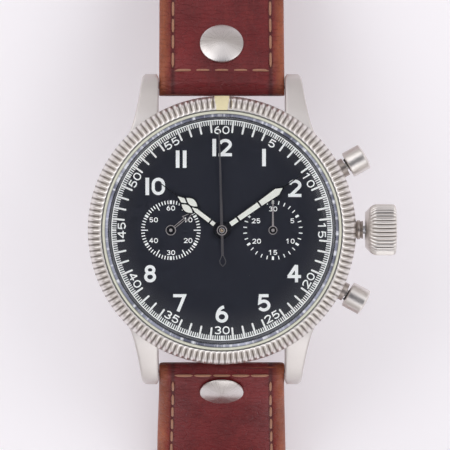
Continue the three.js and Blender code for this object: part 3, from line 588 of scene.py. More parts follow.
def ribbon(points, width, z0, z1, closed=False):
    """A flat stroke of one width along points, with square ends."""
    path = [Vector(p) for p in points]
    count = len(path)
    left, right = [], []
    for i, point in enumerate(path):
        before = point - path[i - 1] if closed or i else path[1] - point
        after = path[(i + 1) % count] - point if closed or i < count - 1 else before
        n0 = Vector((-before.y, before.x)).normalized()
        n1 = Vector((-after.y, after.x)).normalized()
        miter = (n0 + n1).normalized()
        reach = width / 2 / max(0.5, miter.dot(n1))
        left.append(point + miter * reach)
        right.append(point - miter * reach)
    rows = [[(a.x, a.y, z0), (b.x, b.y, z0), (b.x, b.y, z1), (a.x, a.y, z1)] for a, b in zip(left, right)]
    return grid(rows, closed)


def spin(degrees, axis="Z"):
    return Matrix.Rotation(math.radians(degrees), 4, axis)


def about_x(z):
    """Carries a lathe along Z onto the crown's axis along +X."""
    return Matrix.Translation((0, 0, z)) @ spin(90, "Y")


def on_pusher_axis(side):
    angle = math.radians(PUSHER["angle"])
    beside = PUSHER["offset"]
    base = Matrix.Translation((beside * math.sin(angle), -side * beside * math.cos(angle), PUSHER["z"]))
    return base @ spin(side * PUSHER["angle"]) @ about_x(0)


def turned_hand(shape, which, x=0):
    """Turns a hand clockwise from 12 and carries it to its arbor."""
    return shape.moved(Matrix.Translation((x, 0, 0)) @ spin(-HAND_ANGLE[which]))


# ---------------- case, back and bezel


def between(points, y):
    """A smooth curve through (y, value) points."""
    for i in range(len(points) - 1):
        (y0, v0), (y1, v1) = points[i], points[i + 1]
        if y <= y1:
            before = points[max(i - 1, 0)]
            after = points[min(i + 2, len(points) - 1)]
            m0 = (v1 - before[1]) / (y1 - before[0]) * (y1 - y0)
            m1 = (after[1] - v0) / (after[0] - y0) * (y1 - y0)
            t = max(0.0, (y - y0) / (y1 - y0))
            ease = 3 * t**2 - 2 * t**3
            return v0 * (1 - ease) + v1 * ease + m0 * (t**3 - 2 * t**2 + t) + m1 * (t**3 - t**2)
    return points[-1][1]


LUG_ROOT_R = 19.4  # the lugs grow out of the band's metal
LUG_OUTER = [(10, 17.9), (13.2, 16.3), (16.3, 14.62), (20.5, 13.55), (24.7, 12.85), (25.1, 12.7)]
LUG_TOP = [(10, 9.6), (15.5, 9.6), (18, 9.1), (21, 7.7), (23.6, 6.1), (24.9, 4.7), (25.1, 3.9)]
LUG_BOTTOM = [(10, 1.85), (17, 1.5), (21, 0.85), (24, 0.95), (25, 1.9), (25.1, 2.6)]


def lug(sx, sy):
    """One of the four lugs, from the band out to its rounded tip."""
    rows = []
    stations = [10 + 0.5 * i for i in range(29)] + [24.4, 24.7, 24.9, 25.02, 25.1]
    for y in stations:
        outer, top, bottom = (between(curve, y) for curve in (LUG_OUTER, LUG_TOP, LUG_BOTTOM))
        tip = 0.32 * smooth((y - 24.5) / 0.6)
        corners = rectangle(LUG_INNER + tip, outer - tip, bottom + tip, top - tip)
        row = []
        for x, z in fillet(corners, 0.42, True, 4):
            out = max(1.0, LUG_ROOT_R / math.hypot(x, y))
            row.append((sx * x * out, sy * y * out, z))
        rows.append(row)
    return grid(rows)


def case():
    band = [(18.5, 1.85), (19.5, 1.85), (19.5, 1.3), (19.95, 1.3), (20.45, 1.7), (20.8, 2.8), (20.8, 9.2),
            (20.4, 9.75), (19.85, 9.8), (19.85, 12.2), (19.12, 12.2), (19.12, 11.05), (18.5, 11.05)]
    piece("case_band", lathe(fillet(band, 0.22), RING), "band", "case", ["mid_case"])
    lugs = Shape()
    for sx in (1, -1):
        for sy in (1, -1):
            lugs.join(lug(sx, sy))
    piece("case_lugs", lugs, "lugs", "case")


BACK = [
    (0, 0.0), (6, 0.0), (12, 0.0), (16.6, 0.0), (16.9, 0.1), (17.2, 0.1), (17.5, 0.0), (18.55, 0.0),
    (18.6, 0.0), (19.4, 0.0), (19.75, 0.12), (20, 0.4), (20, 1.0), (18.4, 1.0), (18.4, 2.6),
    (17, 2.6), (17, 1.05), (0, 1.0),
]
NOTCHED = (8, 9, 10, 11)  # the points of its outline that the key notches cut


def case_back():
    """The screw-in back has six key notches in its rim and a groove round its flat centre."""
    notch = math.radians(30)

    def key_notch(turn, ring):
        near = abs(turn % (TURN / 6) - notch) * 19.6
        inside = smooth((1.35 - near) / 0.35)
        return (0.0, 0.55 * inside if ring in NOTCHED else 0.0, 0.0)

    piece("case_back_cover", lathe(BACK, 720, key_notch), "back", "case", ["case_back"])


BEZEL_OUTER = [(21.5, 10.3), (21.5, 11.5), (21.15, 12.3), (20.6, 12.85), (19.35, 13.25)]


def bezel():
    """Rounded ribs run from the outer flank over the shoulder to the inner rim."""
    crest = spaced(fillet(BEZEL_OUTER, 0.6, False, 3), 0.22)
    inner = [(19.2, 13.24), (19.2, 12.35), (20.0, 12.35), (20.0, 11.32), (20.35, 11.32), (20.35, 10.68)]
    lower = [(20.0, 10.68), (20.0, 9.95), (21.2, 9.95), (21.42, 10.1)]
    profile = crest + inner + lower
    last = len(crest) - 1

    def rib(turn, ring):
        if ring > last:
            return (0.0, 0.0, 0.0)
        share = ring / last
        fade = smooth((1 - share) / 0.12)
        fall = (1 - abs(math.cos(FLUTES * turn / 2))) ** 0.8
        depth = 0.36 * smooth(share / 0.12) * fade * fall
        lean = smooth(share * 1.6)
        return (-depth * (1 - 0.8 * lean), -depth * lean, fall * fade)

    shape = lathe(profile, FLUTES * 8, rib)
    piece("bezel_fluted", shape, "bezel", "bezel", ["bezel"], 60.0)


def bezel_marker():
    """A pale block that tapers inwards over the rim at 12."""
    over = [(19.25, 13.48), (20.2, 13.22), (20.75, 12.92), (21.1, 12.4), (21.38, 11.7), (21.44, 10.75)]
    rows = []
    for r, z in fillet(over, 0.3, False, 3):
        half = 0.87 + 0.33 * smooth((r - 19.2) / 2.4)
        out = smooth((r - 20.2) / 1.4)
        section = fillet(rectangle(-half, half, -0.16, 0.1), 0.07, True, 2)
        rows.append([(x, r + h * out, z + h * (1 - 0.6 * out)) for x, h in section])
    piece("bezel_marker_block", grid(rows), "marker", "bezel", ["bezel_marker"])


def dome(radius, edge, top, steps=28):
    """Profile of a ball's cap, from its middle to its edge."""
    rise = top - edge
    ball = (radius**2 + rise**2) / (2 * rise)
    widest = math.asin(radius / ball)
    angles = [widest * i / steps for i in range(steps + 1)]
    return [(ball * math.sin(a), top - ball + ball * math.cos(a)) for a in angles]


def crystal():
    """A domed crystal of even thickness, held by a cream sealing ring."""
    outer = dome(18.15, 13.3, 15.3)
    inner = dome(17.95, 12.75, 14.6)
    wall = [(18.19, 13.2), (18.19, 11.2), (18.15, 11.15), (18.02, 11.15), (17.98, 11.2)]
    profile = outer + wall + list(reversed(inner))
    piece("crystal_dome", lathe(profile, 192), "glass", "case", ["crystal"])
    # this ring's colour is painted reflection of the crystal's edge: white glints on a light and dark band
    bevel = fillet([(18.22, 11.2), (18.66, 11.2), (18.66, 12.95), (18.22, 13.2)], 0.05)
    piece("crystal_bevel", lathe(bevel, RING), "bevel", "case")
    seal = fillet(rectangle(18.7, 19.13, 11.12, 13.2), 0.16)
    piece("crystal_seal_ring", lathe(seal, RING), "seal", "case", ["crystal_gasket"])
    flange = fillet([(17.78, 9.68), (18.4, 9.68), (18.4, 10.95), (18.05, 10.95)], 0.08)
    piece("flange", lathe(flange, RING), "flange", "case", ["flange_ring"])


# ---------------- dial


def digit(sign, width, height, stroke, flag):
    """Strokes of one digit about its centre, as (points, closed) pairs; a 1 can have a flag."""
    a, b = (width - stroke) / 2, (height - stroke) / 2
    low, right = -height / 2, width / 2
    if sign == "0":
        return [(arc(0, b - a, a, a, 0, 180) + arc(0, a - b, a, a, 180, 360), True)]
    if sign == "1":
        strokes = [([(0, low), (0, -low)], False)]
        if flag:
            strokes.append(([(0, -low - stroke / 3), (-0.34 * height, 0.22 * height)], False))
        return strokes
    if sign == "2":
        r = 0.56 * b
        return [
            (arc(0, b - r, a, r, 172, -38) + [(-0.82 * a, -b)], False),
            ([(-width / 2, -b), (right, -b)], False),
        ]
    if sign == "3":
        return [
            (arc(0, 0.5 * b, 0.88 * a, 0.5 * b, 155, -90, 12), False),
            (arc(0, -0.5 * b, a, 0.5 * b, 90, -155, 12), False),
        ]
    if sign == "4":
        stem, cross, foot = 0.46 * a, -0.4 * b, -1.08 * a
        return [
            ([(stem, low), (stem, -low)], False),
            ([(stem - 0.05 * stroke, -low - 0.1 * stroke), (foot, cross)], False),
            ([(foot - 0.4 * stroke, cross), (1.04 * right, cross)], False),
        ]
    if sign == "5":
        r = 0.62 * b
        bowl = arc(-0.02 * a, r - b, a, r, 128, -150)
        return [([(0.9 * a, b), (-0.72 * a, b), (-0.86 * a, 0.02 * b)] + bowl[1:], False)]
    if sign == "6":
        r = 0.6 * b
        return [
            (arc(0, r - b, a, r, 0, 360, 20)[:-1], True),
            (arc(0.62 * a, r - b, 1.62 * a, 2 * b - r, 180, 96, 10), False),
        ]
    if sign == "7":
        return [([(-width / 2, b), (0.92 * a, b), (-0.36 * a, low)], False)]
    top, bottom = 0.47 * b, 0.55 * b
    return [
        (arc(0, b - top, 0.86 * a, top, 0, 360, 20)[:-1], True),
        (arc(0, bottom - b, a, bottom, 0, 360, 20)[:-1], True),
    ]


def on_dial(x, y, turn):
    """The dial's face at a place, turned by an angle in degrees."""
    return Matrix.Translation((x, y, DIAL_Z)) @ spin(turn)


def number(shape, text, at, height, width, stroke, turn=0.0, gap=0.35, flag=False):
    """Prints a number centred at a place."""
    bar = 1.2 * stroke  # a plain 1 is one bolder bar
    wide = [bar if c == "1" and not flag else width * SLIM.get(c, 1.0) for c in text]
    x = -(sum(wide) + gap * (len(text) - 1)) / 2
    place = on_dial(*at, turn)
    for c, w in zip(text, wide):
        line = bar if w == bar else stroke
        for layer, (points, closed) in enumerate(digit(c, w, height, stroke, flag)):
            moved = [(px + x + w / 2, py) for px, py in points]
            shape.join(ribbon(moved, line, 0.0, PRINT + LAYER * layer, closed).moved(place))
        x += w + gap


def tick(shape, x, turn, outer, length, width, round_ends=False):
    """A mark that points at the centre of a dial; turn is degrees clockwise from 12."""
    place = on_dial(x, 0, -turn)
    inner, h = outer - length, width / 2
    if round_ends:
        outline = arc(0, outer - h, h, h, 0, 180, 6) + arc(0, inner + h, h, h, 180, 360, 6)
        shape.join(plate(outline, 0.0, PRINT).moved(place))
    else:
        shape.join(ribbon([(0, inner), (0, outer)], width, 0.0, PRINT).moved(place))


MINUTE_R = 17.6
MINUTE_MARKS = {"fifth": (0.75, 0.17), "second": (2.0, 0.3), "five": (0.73, 0.32)}  # length and width
MINUTE_TEXT_R = 16.0
MINUTE_TEXT = {"height": 1.3, "width": 1.15, "stroke": 0.21, "gap": 0.2, "flag": True}
SUB_DIAL_R = 4.75
SUB_DIAL_TEXT = {"height": 0.78, "width": 0.62, "stroke": 0.125, "gap": 0.13, "flag": True}
SECONDS = {"60": (0, 3.53), "10": (2.75, 1.65), "20": (2.75, -1.65), "30": (0, -3.58), "40": (-2.75, -1.65),
           "50": (-2.75, 1.65)}
COUNTER = {"30": (0, 3.4), "5": (3.1, 1.5), "10": (2.78, -1.75), "15": (0, -3.55), "20": (-2.6, -1.75),
           "25": (-2.7, 1.5)}


def minute_track():
    """A fine circle, 300 marks and the numbers 5 to 60, the lower ones turned to read upright."""
    track = Shape()
    circle = arc(0, 0, MINUTE_R, MINUTE_R, 0, 360, 180)[:-1]
    track.join(ribbon(circle, 0.15, 0.0, PRINT, True).moved(on_dial(0, 0, 0)))
    for fifth in range(300):
        second, part = divmod(fifth, 5)
        kind = "fifth" if part else "second" if second % 5 else "five"
        tick(track, 0, 1.2 * fifth, MINUTE_R, *MINUTE_MARKS[kind], kind == "second")
    for second in range(5, 65, 5):
        angle = math.radians(6 * second)
        upside_down = 20 <= second <= 40
        at = (MINUTE_TEXT_R * math.sin(angle), MINUTE_TEXT_R * math.cos(angle))
        turn = -6 * second + (180 if upside_down else 0)
        number(track, str(second), at, turn=turn, **MINUTE_TEXT)
    return track


def sub_dial(track, x, marks, bold_every, long_rule, labels):
    for i in range(marks):
        length = 1.1 if long_rule(i) else 0.58
        tick(track, x, 360 / marks * i, SUB_DIAL_R, length, 0.16 if i % bold_every else 0.34)
    for text, (dx, dy) in labels.items():
        number(track, text, (x + dx, dy), **SUB_DIAL_TEXT)


NUMERAL_AT = {4: (11.55, -6.95), 8: (-11.47, -6.95), 10: (-10.65, 7.0), 11: (-6.5, 11.35), 12: (0.04, 13.2)}
NUMERAL_R = (13.45, 13.4)  # across and along, for the other numerals
NUMERAL_TEXT = {"height": 2.78, "width": 2.12, "stroke": 0.5}
SLIM = {"6": 0.95, "8": 0.9}  # share of a digit's full width


def dial():
    face = fillet(rectangle(0.62, 18.3, 9.2, DIAL_Z), 0.04)
    piece("dial_plate", lathe(face, RING), "dial", "case", ["dial"])
    numerals = Shape()
    for hour in (12, 1, 2, 4, 5, 6, 7, 8, 10, 11):
        angle = math.radians(30 * hour)
        at = NUMERAL_AT.get(hour, (NUMERAL_R[0] * math.sin(angle), NUMERAL_R[1] * math.cos(angle)))
        number(numerals, str(hour), at, gap=0.52 if hour == 11 else 0.4, **NUMERAL_TEXT)
    piece("dial_numerals", numerals, "numeral", "case", (), 20.0)
    track = minute_track()
    sub_dial(track, -SUB_X, 60, 10, lambda i: i % 10 == 5, SECONDS)
    sub_dial(track, SUB_X, 30, 5, lambda i: False, COUNTER)
    piece("dial_printing", track, "print", "case", (), 20.0)


# ---------------- hands


def both_sides(half, tail=()):
    """A closed outline from (half width, distance) points on one side and an optional tail."""
    right = [(v, -u) for v, u in reversed(tail)] + list(half)
    return right + [(-x, y) for x, y in reversed(right)]


def hub(radius, z0, z1, hole=0.0):
    """A ring round an arbor, or a solid pin where it has no hole."""
    edge = min(0.08, (z1 - z0) / 3)
    profile = [(hole, z0), (radius, z0), (radius, z1 - edge), (radius - edge, z1), (hole, z1)]
    return lathe(profile, 48)


HOUR_FRAME = [
    (0.46, 0.3), (0.47, 5.15), (0.75, 5.25), (1.12, 5.75), (1.29, 6.3), (1.29, 6.8), (1.12, 7.35),
    (0.78, 7.85), (0.42, 8.5), (0.12, 9.1), (0.06, 12.2),
]
MINUTE_FRAME = [(0.52, 0.3), (0.57, 7.2), (0.72, 10.85), (0.4, 11.5), (0.12, 12.1), (0.06, 16.1)]
LEAF = {"middle": 0.64, "half": 0.52, "from": 5.42, "length": 2.2}


def leaf(side):
    """A field pointed at both ends beside the centre rib of the hour hand."""
    steps = 10
    outer, inner = [], []
    for i in range(steps + 1):
        belly = LEAF["half"] * math.sin(math.pi * i / steps) ** 0.9
        y = LEAF["from"] + LEAF["length"] * i / steps
        outer.append((side * (LEAF["middle"] + belly), y))
        inner.append((side * (LEAF["middle"] - belly), y))
    return outer + inner[-2:0:-1]


HOUR_CELLS = [
    both_sides([(0.32, 1.5), (0.32, 2.2)]),
    both_sides([(0.33, 2.45), (0.33, 5.2), (0.03, 5.95)]),
    leaf(1),
    leaf(-1),
    both_sides([(0.03, 7.15), (0.42, 7.85), (0.03, 8.85)]),
]
MINUTE_CELLS = [
    both_sides([(0.375, 1.67), (0.375, 2.99)]),
    both_sides([(0.39, 3.3), (0.43, 7.17)]),
    both_sides([(0.44, 7.45), (0.56, 10.75), (0.03, 11.75)]),
]


def luminous_hand(which, frame_half, cells, hub_r):
    """A black frame whose cells are filled with luminous paint, which glows faintly as painted light."""
    low, high = HAND_Z[which], HAND_Z[which] + HAND_THICK
    body = f"{which}_hand"
    shape = plate(both_sides(frame_half), low, high, 0.05).join(hub(hub_r, low, high + 0.02, 0.3))
    piece(f"{body}_frame", turned_hand(shape, which), "hand", body, [body], 25.0)
    fields = Shape()
    for outline in cells:
        fields.join(plate(outline, high - 0.05, high + 0.035, 0.02))
    piece(f"{body}_lume", turned_hand(fields, which), "lume", body, (), 25.0)


def needle(which, shape, inlay, look, x, body):
    """A needle, and the dark inlay that leaves only its edges light."""
    piece(f"{body}_needle", turned_hand(shape, which, x), look, body, [f"{body}_hand"], 25.0)
    piece(f"{body}_inlay", turned_hand(inlay, which, x), "hand", body, (), 25.0)


def chrono_needle():
    """A long needle with a drop at its tail, on a hub of two rings round a pin."""
    low, high = HAND_Z["chrono"], HAND_Z["chrono"] + HAND_THICK
    shape = plate(both_sides([(0.22, 0.6), (0.1, 15.9)], [(0.2, 0.6), (0.2, 4.05)]), low, high, 0.03)
    drop = both_sides([(0.1, -4.0), (0.48, -4.85), (0.42, -5.3), (0.06, -5.72)])
    shape.join(ribbon(drop, 0.15, low, high - 0.02, True))
    inlay = hub(0.68, low, high + 0.02, 0.46).join(hub(0.3, low, high + 0.1, 0.15))
    needle("chrono", shape, inlay, "needle", 0, "chrono_seconds")
    rings = hub(0.81, low, high + 0.04, 0.68).join(hub(0.46, low, high + 0.16, 0.3))
    rings.join(hub(0.15, low, high + 0.2))
    piece("chrono_seconds_hub", rings, "pale", "chrono_seconds", (), 25.0)


def sub_dial_needles():
    """An open arrow for the seconds and a plain needle for the counter, each on a ringed hub."""
    low, high, rim = HAND_Z["seconds"], HAND_Z["seconds"] + 0.12, 0.12
    stem = ribbon([(0, 0.6), (0, 2.75)], 0.4, low, high)
    stem.join(ribbon([(-0.5, 2.85), (0.5, 2.85), (0, 4.6)], 0.13, low, high, True))
    groove = ribbon([(0, 0.7), (0, 2.75)], 0.18, high - 0.01, high + 0.02)
    plain = plate(both_sides([(0.15, 0.5), (0.09, 4.68)]), low, high, 0.03)
    for which, shape, inlay, hub_r, x, body in (
        ("seconds", stem, groove, 0.82, -SUB_X, "small_seconds"),
        ("counter", plain, Shape(), 0.7, SUB_X, "minute_counter"),
    ):
        inner = hub_r - rim
        shape.join(hub(hub_r, low, high + 0.05, inner)).join(hub(0.26, low, high + 0.14))
        needle(which, shape, inlay.join(hub(inner, low, high + 0.03, 0.26)), "pale", x, body)


# ---------------- crown and pushers


def crown():
    """A fluted crown whose back narrows round a counterbore, and the grooved tube behind it."""
    outer = [(2.85, 23.1), (3.3, 23.5), (3.7, 23.9), (4.02, 24.4), (4.14, 24.8), (4.16, 25.2),
             (4.16, 27.3), (4.12, 27.65), (3.98, 27.9), (3.7, 28.05)]
    crest = fillet(outer, 0.12, False, 3)
    profile = [(1.72, 23.1)] + crest + [(2.6, 28.12), (1.2, 28.15), (0, 28.15)]
    profile = [(0, 24.6), (1.72, 24.6)] + profile

    def rib(turn, ring):
        r, x = profile[ring]
        grip = smooth((x - 23.6) / 0.7) * smooth((28.1 - x) / 0.3) if r > 3.2 else 0.0
        fall = 1 - abs(math.cos(CROWN_FLUTES * turn / 2)) ** 0.7
        return (-0.3 * grip * fall, 0.0, fall * grip)

    shape = lathe(profile, CROWN_FLUTES * 12, rib).moved(about_x(CROWN_Z))
    piece("crown_fluted", shape, "crown", "crown", ["crown"], 50.0)
    grooved = [(0.76, 18.8), (1.25, 18.8), (1.25, 20.95), (1.55, 20.95), (1.55, 21.5), (1.3, 21.65),
               (1.55, 21.8), (1.55, 22.2), (1.3, 22.35), (1.5, 22.6), (1.45, 22.7), (0.76, 22.7)]
    tube = lathe(fillet(grooved, 0.08), 64).moved(about_x(CROWN_Z))
    piece("crown_tube_grooved", tube, "tube", "case", ["crown_tube"])


def pushers():
    """Two round caps on slanted stems that slide in fixed collars."""
    head = [(0, 15.0), (0.6, 15.0), (0.6, 24.4), (1.6, 24.4), (1.6, 22.8), (2.0, 22.8), (2.15, 22.95),
            (2.15, 25.6)]
    angles = [math.pi / 2 * i / 8 for i in range(8)]
    end = [(2.15 * math.cos(a) ** 0.7, 25.7 + 0.4 * math.sin(a)) for a in angles]
    profile = fillet(head, 0.1, False, 3) + end + [(0, 26.1)]
    collar = [(0.68, 18.8), (1.25, 18.8), (1.25, 20.95), (1.5, 20.95), (1.5, 22.4), (1.3, 22.4),
              (1.3, 21.3), (0.68, 21.3)]
    for name, side in (("start_pusher", 1), ("reset_pusher", -1)):
        place = on_pusher_axis(side)
        piece(f"{name}_cap", lathe(profile, 96).moved(place), "pusher", name, [name])
        tube = lathe(fillet(collar, 0.06), 64).moved(place)
        piece(f"{name}_collar", tube, "tube", "case", [f"{name}_tube"])


# ---------------- straps


def slope_at(slopes, s):
    """The slope in radians at a distance along the strap, in proportion between the listed ones."""
    before = slopes[0]
    for here in slopes:
        if here[0] >= s:
            span = here[0] - before[0]
            share = (s - before[0]) / span if span else 0.0
            return math.radians(before[1] + (here[1] - before[1]) * max(0.0, share))
        before = here
    return math.radians(slopes[-1][1])


class StrapPath:
    """The underside of a strap from its spring bar, drawn towards +Y."""

    STEP = 0.25

    def __init__(self, slopes, length):
        self.slopes = slopes
        first = slope_at(slopes, 0)
        self.places = [Vector((0, BAR["y"] - FOLD * math.sin(first), BAR["z"] - FOLD * math.cos(first)))]
        for i in range(int((length + 5) / self.STEP)):
            a = slope_at(slopes, (i + 0.5) * self.STEP)
            self.places.append(self.places[-1] + Vector((0, math.cos(a), -math.sin(a))) * self.STEP)

    def at(self, s, lift=0.0):
        """The place a distance along the underside, lifted out of it."""
        i = max(0, min(len(self.places) - 2, int(s / self.STEP)))
        f = s / self.STEP - i
        a = slope_at(self.slopes, max(0.0, s))
        base = self.places[i].lerp(self.places[i + 1], f)
        return base + Vector((0, math.sin(a), math.cos(a))) * lift

    def matrix(self, s, lift=0.0):
        turn = Matrix.Rotation(-slope_at(self.slopes, max(0.0, s)), 4, "X")
        return Matrix.Translation(self.at(s, lift)) @ turn


PATH_12 = StrapPath(SLOPES_12, LENGTH_12)
PATH_6 = StrapPath(SLOPES_6, LENGTH_6)
HALF_TURN = spin(180)


def thickness(s):
    return 2 * FOLD + 0.7 * smooth(s / 5) - 1.4 * smooth((s - 14) / 22)


def half_width_12(s):
    return 10.12 - 1.1 * smooth((s - 20) / 50)


def half_width_6(s):
    """A flare past the bar, a taper and a rounded tip."""
    flare = 0.5 * smooth(s / 24) - 1.5 * smooth((s - 26) / 60)
    tip = max(0.0, (s - (LENGTH_6 - 9)) / 9)
    return (10.12 + flare) * max(0.12, math.sqrt(max(0.0, 1 - tip * tip)))


def rounded_off(depth, radius, most):
    """How far a rounded edge falls, at a depth inside it."""
    return most * (1 - math.sqrt(max(0.0, 1 - (1 - min(1.0, depth / radius)) ** 2)))


def crown_height(depth, s):
    """How far the upper side stands above the plain thickness, at a depth inside its edge."""
    groove = -0.2 * math.exp(-(((depth - STITCH_IN) / 0.42) ** 2))
    middle = max(0.0, (depth - STITCH_IN) / (HALF - STITCH_IN))
    pad = 0.28 * smooth(middle * 2.2) * (1 - 0.6 * smooth((s - 20) / 30))
    return groove - rounded_off(depth, 1.15, 0.85) + pad - 0.05


UPPER_DEPTHS = [0.0, 0.04, 0.15, 0.35, 0.6, 0.9, 1.15, 1.4, 1.6, 1.8, 2.0, 2.2, 2.4, 2.7, 3.3, 4.4,
                6.0, 8.0]
UNDER_DEPTHS = [0.0, 0.1, 0.3, 0.7, 2.0, 5.0, 8.0]


def strap_shape(path, length, half_width, squared_end):
    """A closed band: rounded over the bar, crowned between its stitch lines."""
    angles = [math.pi / 2 * (1 - i / 6) for i in range(6)]
    stations = [(0.0, FOLD * math.sin(a), math.cos(a)) for a in angles]
    count = int(length / 0.9)
    stations += [(length * i / count, 0.0, 1.0) for i in range(count + 1)]
    rows, edges = [], []
    for s, back, thin in stations:
        half = half_width(s)
        a = slope_at(path.slopes, s)
        behind = Vector((0, math.cos(a), -math.sin(a))) * back
        thick = thickness(s)
        middle = FOLD if back else thick / 2
        end = smooth((length - s) / 0.7) if squared_end else 1.0
        share = max(0.12, thin) * (0.4 + 0.6 * end)
        upper = [(depth, thick + crown_height(depth, s)) for depth in UPPER_DEPTHS]
        under = [(depth, rounded_off(depth, 0.6, 0.5)) for depth in UNDER_DEPTHS]
        outline = [(-1, *point) for point in upper] + [(0, HALF, thick + crown_height(HALF, s))]
        outline += [(1, *point) for point in upper[::-1] + under]
        outline += [(-1, *point) for point in under[::-1]]
        row = []
        for side, depth, height in outline:
            x = side * (half - depth * half / HALF)
            row.append(path.at(s, middle + (height - middle) * share) - behind + Vector((x, 0, 0)))
            edges.append(depth)
        rows.append(row)
    return grid(rows, edge=edges)


def stitch(shape, place, length, across=False):
    """One thread stitch, along Y or X of a place, that dips into the leather at both ends."""
    rows = []
    steps = 6
    for i in range(steps + 1):
        t = i / steps * 2 - 1
        size = THREAD_R * math.sqrt(max(0.06, 1 - t**6))
        along = t * length / 2
        section = [(u, v - 0.22 * t**4) for u, v in oval(size, size, 8)]
        rows.append([(along, u, v) if across else (u, along, v) for u, v in section])
    shape.join(grid(rows).moved(place))


def stitching(path, half_width, start, end, row):
    """Two rows of stitches along the strap and one across it, at the place called row."""
    thread_shape = Shape()
    random.seed(12)
    for i in range(int((end - start) / STITCH_PITCH)):
        s = start + STITCH_PITCH * (i + 0.5)
        x = half_width(s) * (1 - STITCH_IN / HALF)
        for side in (-1, 1):
            place = path.matrix(s + random.uniform(-0.07, 0.07), thickness(s) - 0.2)
            stitch(thread_shape, place @ Matrix.Translation((side * x, 0, 0)), STITCH_LENGTH)
    for i in range(5):
        stitch(thread_shape, row @ Matrix.Translation(((i - 2) * CROSS_PITCH, 0, 0)), STITCH_LENGTH, True)
    return thread_shape


def drill(obj, cutters):
    """Cuts closed shapes out of a piece and keeps its materials."""
    whole = Shape()
    for cutter in cutters:
        whole.join(cutter)
    tool = show("cutter", mesh_of("cutter", whole))
    modifier = obj.modifiers.new("holes", "BOOLEAN")
    modifier.operation = "DIFFERENCE"
    modifier.object = tool
    modifier.solver = "EXACT"
    graph = bpy.context.evaluated_depsgraph_get()
    result = bpy.data.meshes.new_from_object(obj.evaluated_get(graph))
    obj.modifiers.clear()
    obj.data = result
    bpy.data.objects.remove(tool)


def hole(path, s, radius):
    """A cutter that goes right through the strap."""
    return lathe(rectangle(0, radius, -3, 7), 32).moved(path.matrix(s))


def rivet(name, path, s, seat, turn, body):
    """A low cone with a turned rim on the strap, closed by a washer underneath."""
    top = thickness(s) + seat
    under = [(0, -0.55), (1.7, -0.55), (1.9, -0.4), (1.9, -0.12), (0.9, -0.12), (0.9, top - 0.02)]
    cone = [(3.45, top - 0.02), (3.55, top + 0.08), (3.5, top + 0.26), (3.3, top + 0.36),
            (2.3, top + 0.62), (1.2, top + 0.9), (0.5, top + 1.03), (0, top + 1.05)]
    shape = lathe(under + cone, 128).moved(turn @ path.matrix(s))
    piece(f"{name}_head", shape, "rivet", body, [name], 40.0)


def straps():
    band = strap_shape(PATH_12, LENGTH_12, half_width_12, False)
    upper = piece("strap_12_leather", band, "leather", "strap_12", ["strap_12"], 50.0)
    end = PATH_12.matrix(LENGTH_12, BUCKLE_R)
    turns = [[(x, u, v) for u, v in oval(BUCKLE_R, BUCKLE_R, 24)] for x in (-9.0, -8.6, 8.6, 9.0)]
    roll = grid(turns).moved(end)
    roll.marks["edge"] = [3.0] * len(roll.verts)
    rolled = piece("strap_12_roll", roll, "leather", "strap_12", (), 50.0)
    tongue_slot = plate(rectangle(-1.5, 1.5, -2.8, 5.2), -4, 4).moved(end)
    drill(upper, [tongue_slot])
    drill(rolled, [tongue_slot])
    band = strap_shape(PATH_6, LENGTH_6, half_width_6, True).moved(HALF_TURN)
    lower = piece("strap_6_leather", band, "leather", "strap_6", ["strap_6"], 50.0)
    drill(lower, [hole(PATH_6, HOLES_S + HOLE_PITCH * i, 1.0).moved(HALF_TURN) for i in range(7)])
    row = PATH_12.matrix(SEAM_12["cross"], thickness(SEAM_12["cross"]) + 0.12)
    seams = stitching(PATH_12, half_width_12, SEAM_12["start"], SEAM_12["end"], row)
    piece("strap_12_stitching", seams, "thread", "strap_12")
    row = Matrix.Translation((0, BAR["y"], BAR["z"])) @ spin(SEAM_6["tilt"], "X")
    row = row @ Matrix.Translation((0, 0, SEAM_6["lift"]))
    seams = stitching(PATH_6, half_width_6, SEAM_6["start"], SEAM_6["end"], row).moved(HALF_TURN)
    piece("strap_6_stitching", seams, "thread", "strap_6")
    rivet("rivet_12", PATH_12, RIVET_12_S, 0.12, Matrix.Identity(4), "strap_12")
    rivet("rivet_6", PATH_6, RIVET_6_S, 0.3, HALF_TURN, "strap_6")


def keeper(name, s, room, body):
    """A loop of leather with rounded edges round the strap."""
    wide, high, wall = half_width_12(s) + room / 2, 6.4, 1.1
    mid_w, mid_h = wide + wall / 2, high / 2 + wall / 2
    loop = fillet(rectangle(-mid_w, mid_w, -mid_h, mid_h), 0.9, True, 5)
    path = [(x, 0.0, z + high / 2) for x, z in loop]
    section = fillet(rectangle(-wall / 2, wall / 2, -2.4, 2.4), 0.35)
    shape = sweep(path, section, (0, 1, 0), closed=True)
    shape.marks["edge"] = [2.6 - 0.9 * abs(v) for _ in path for _, v in section]
    obj = piece(f"{name}_loop", shape.moved(PATH_12.matrix(s, -0.15)), "leather", body, [name], 50.0)


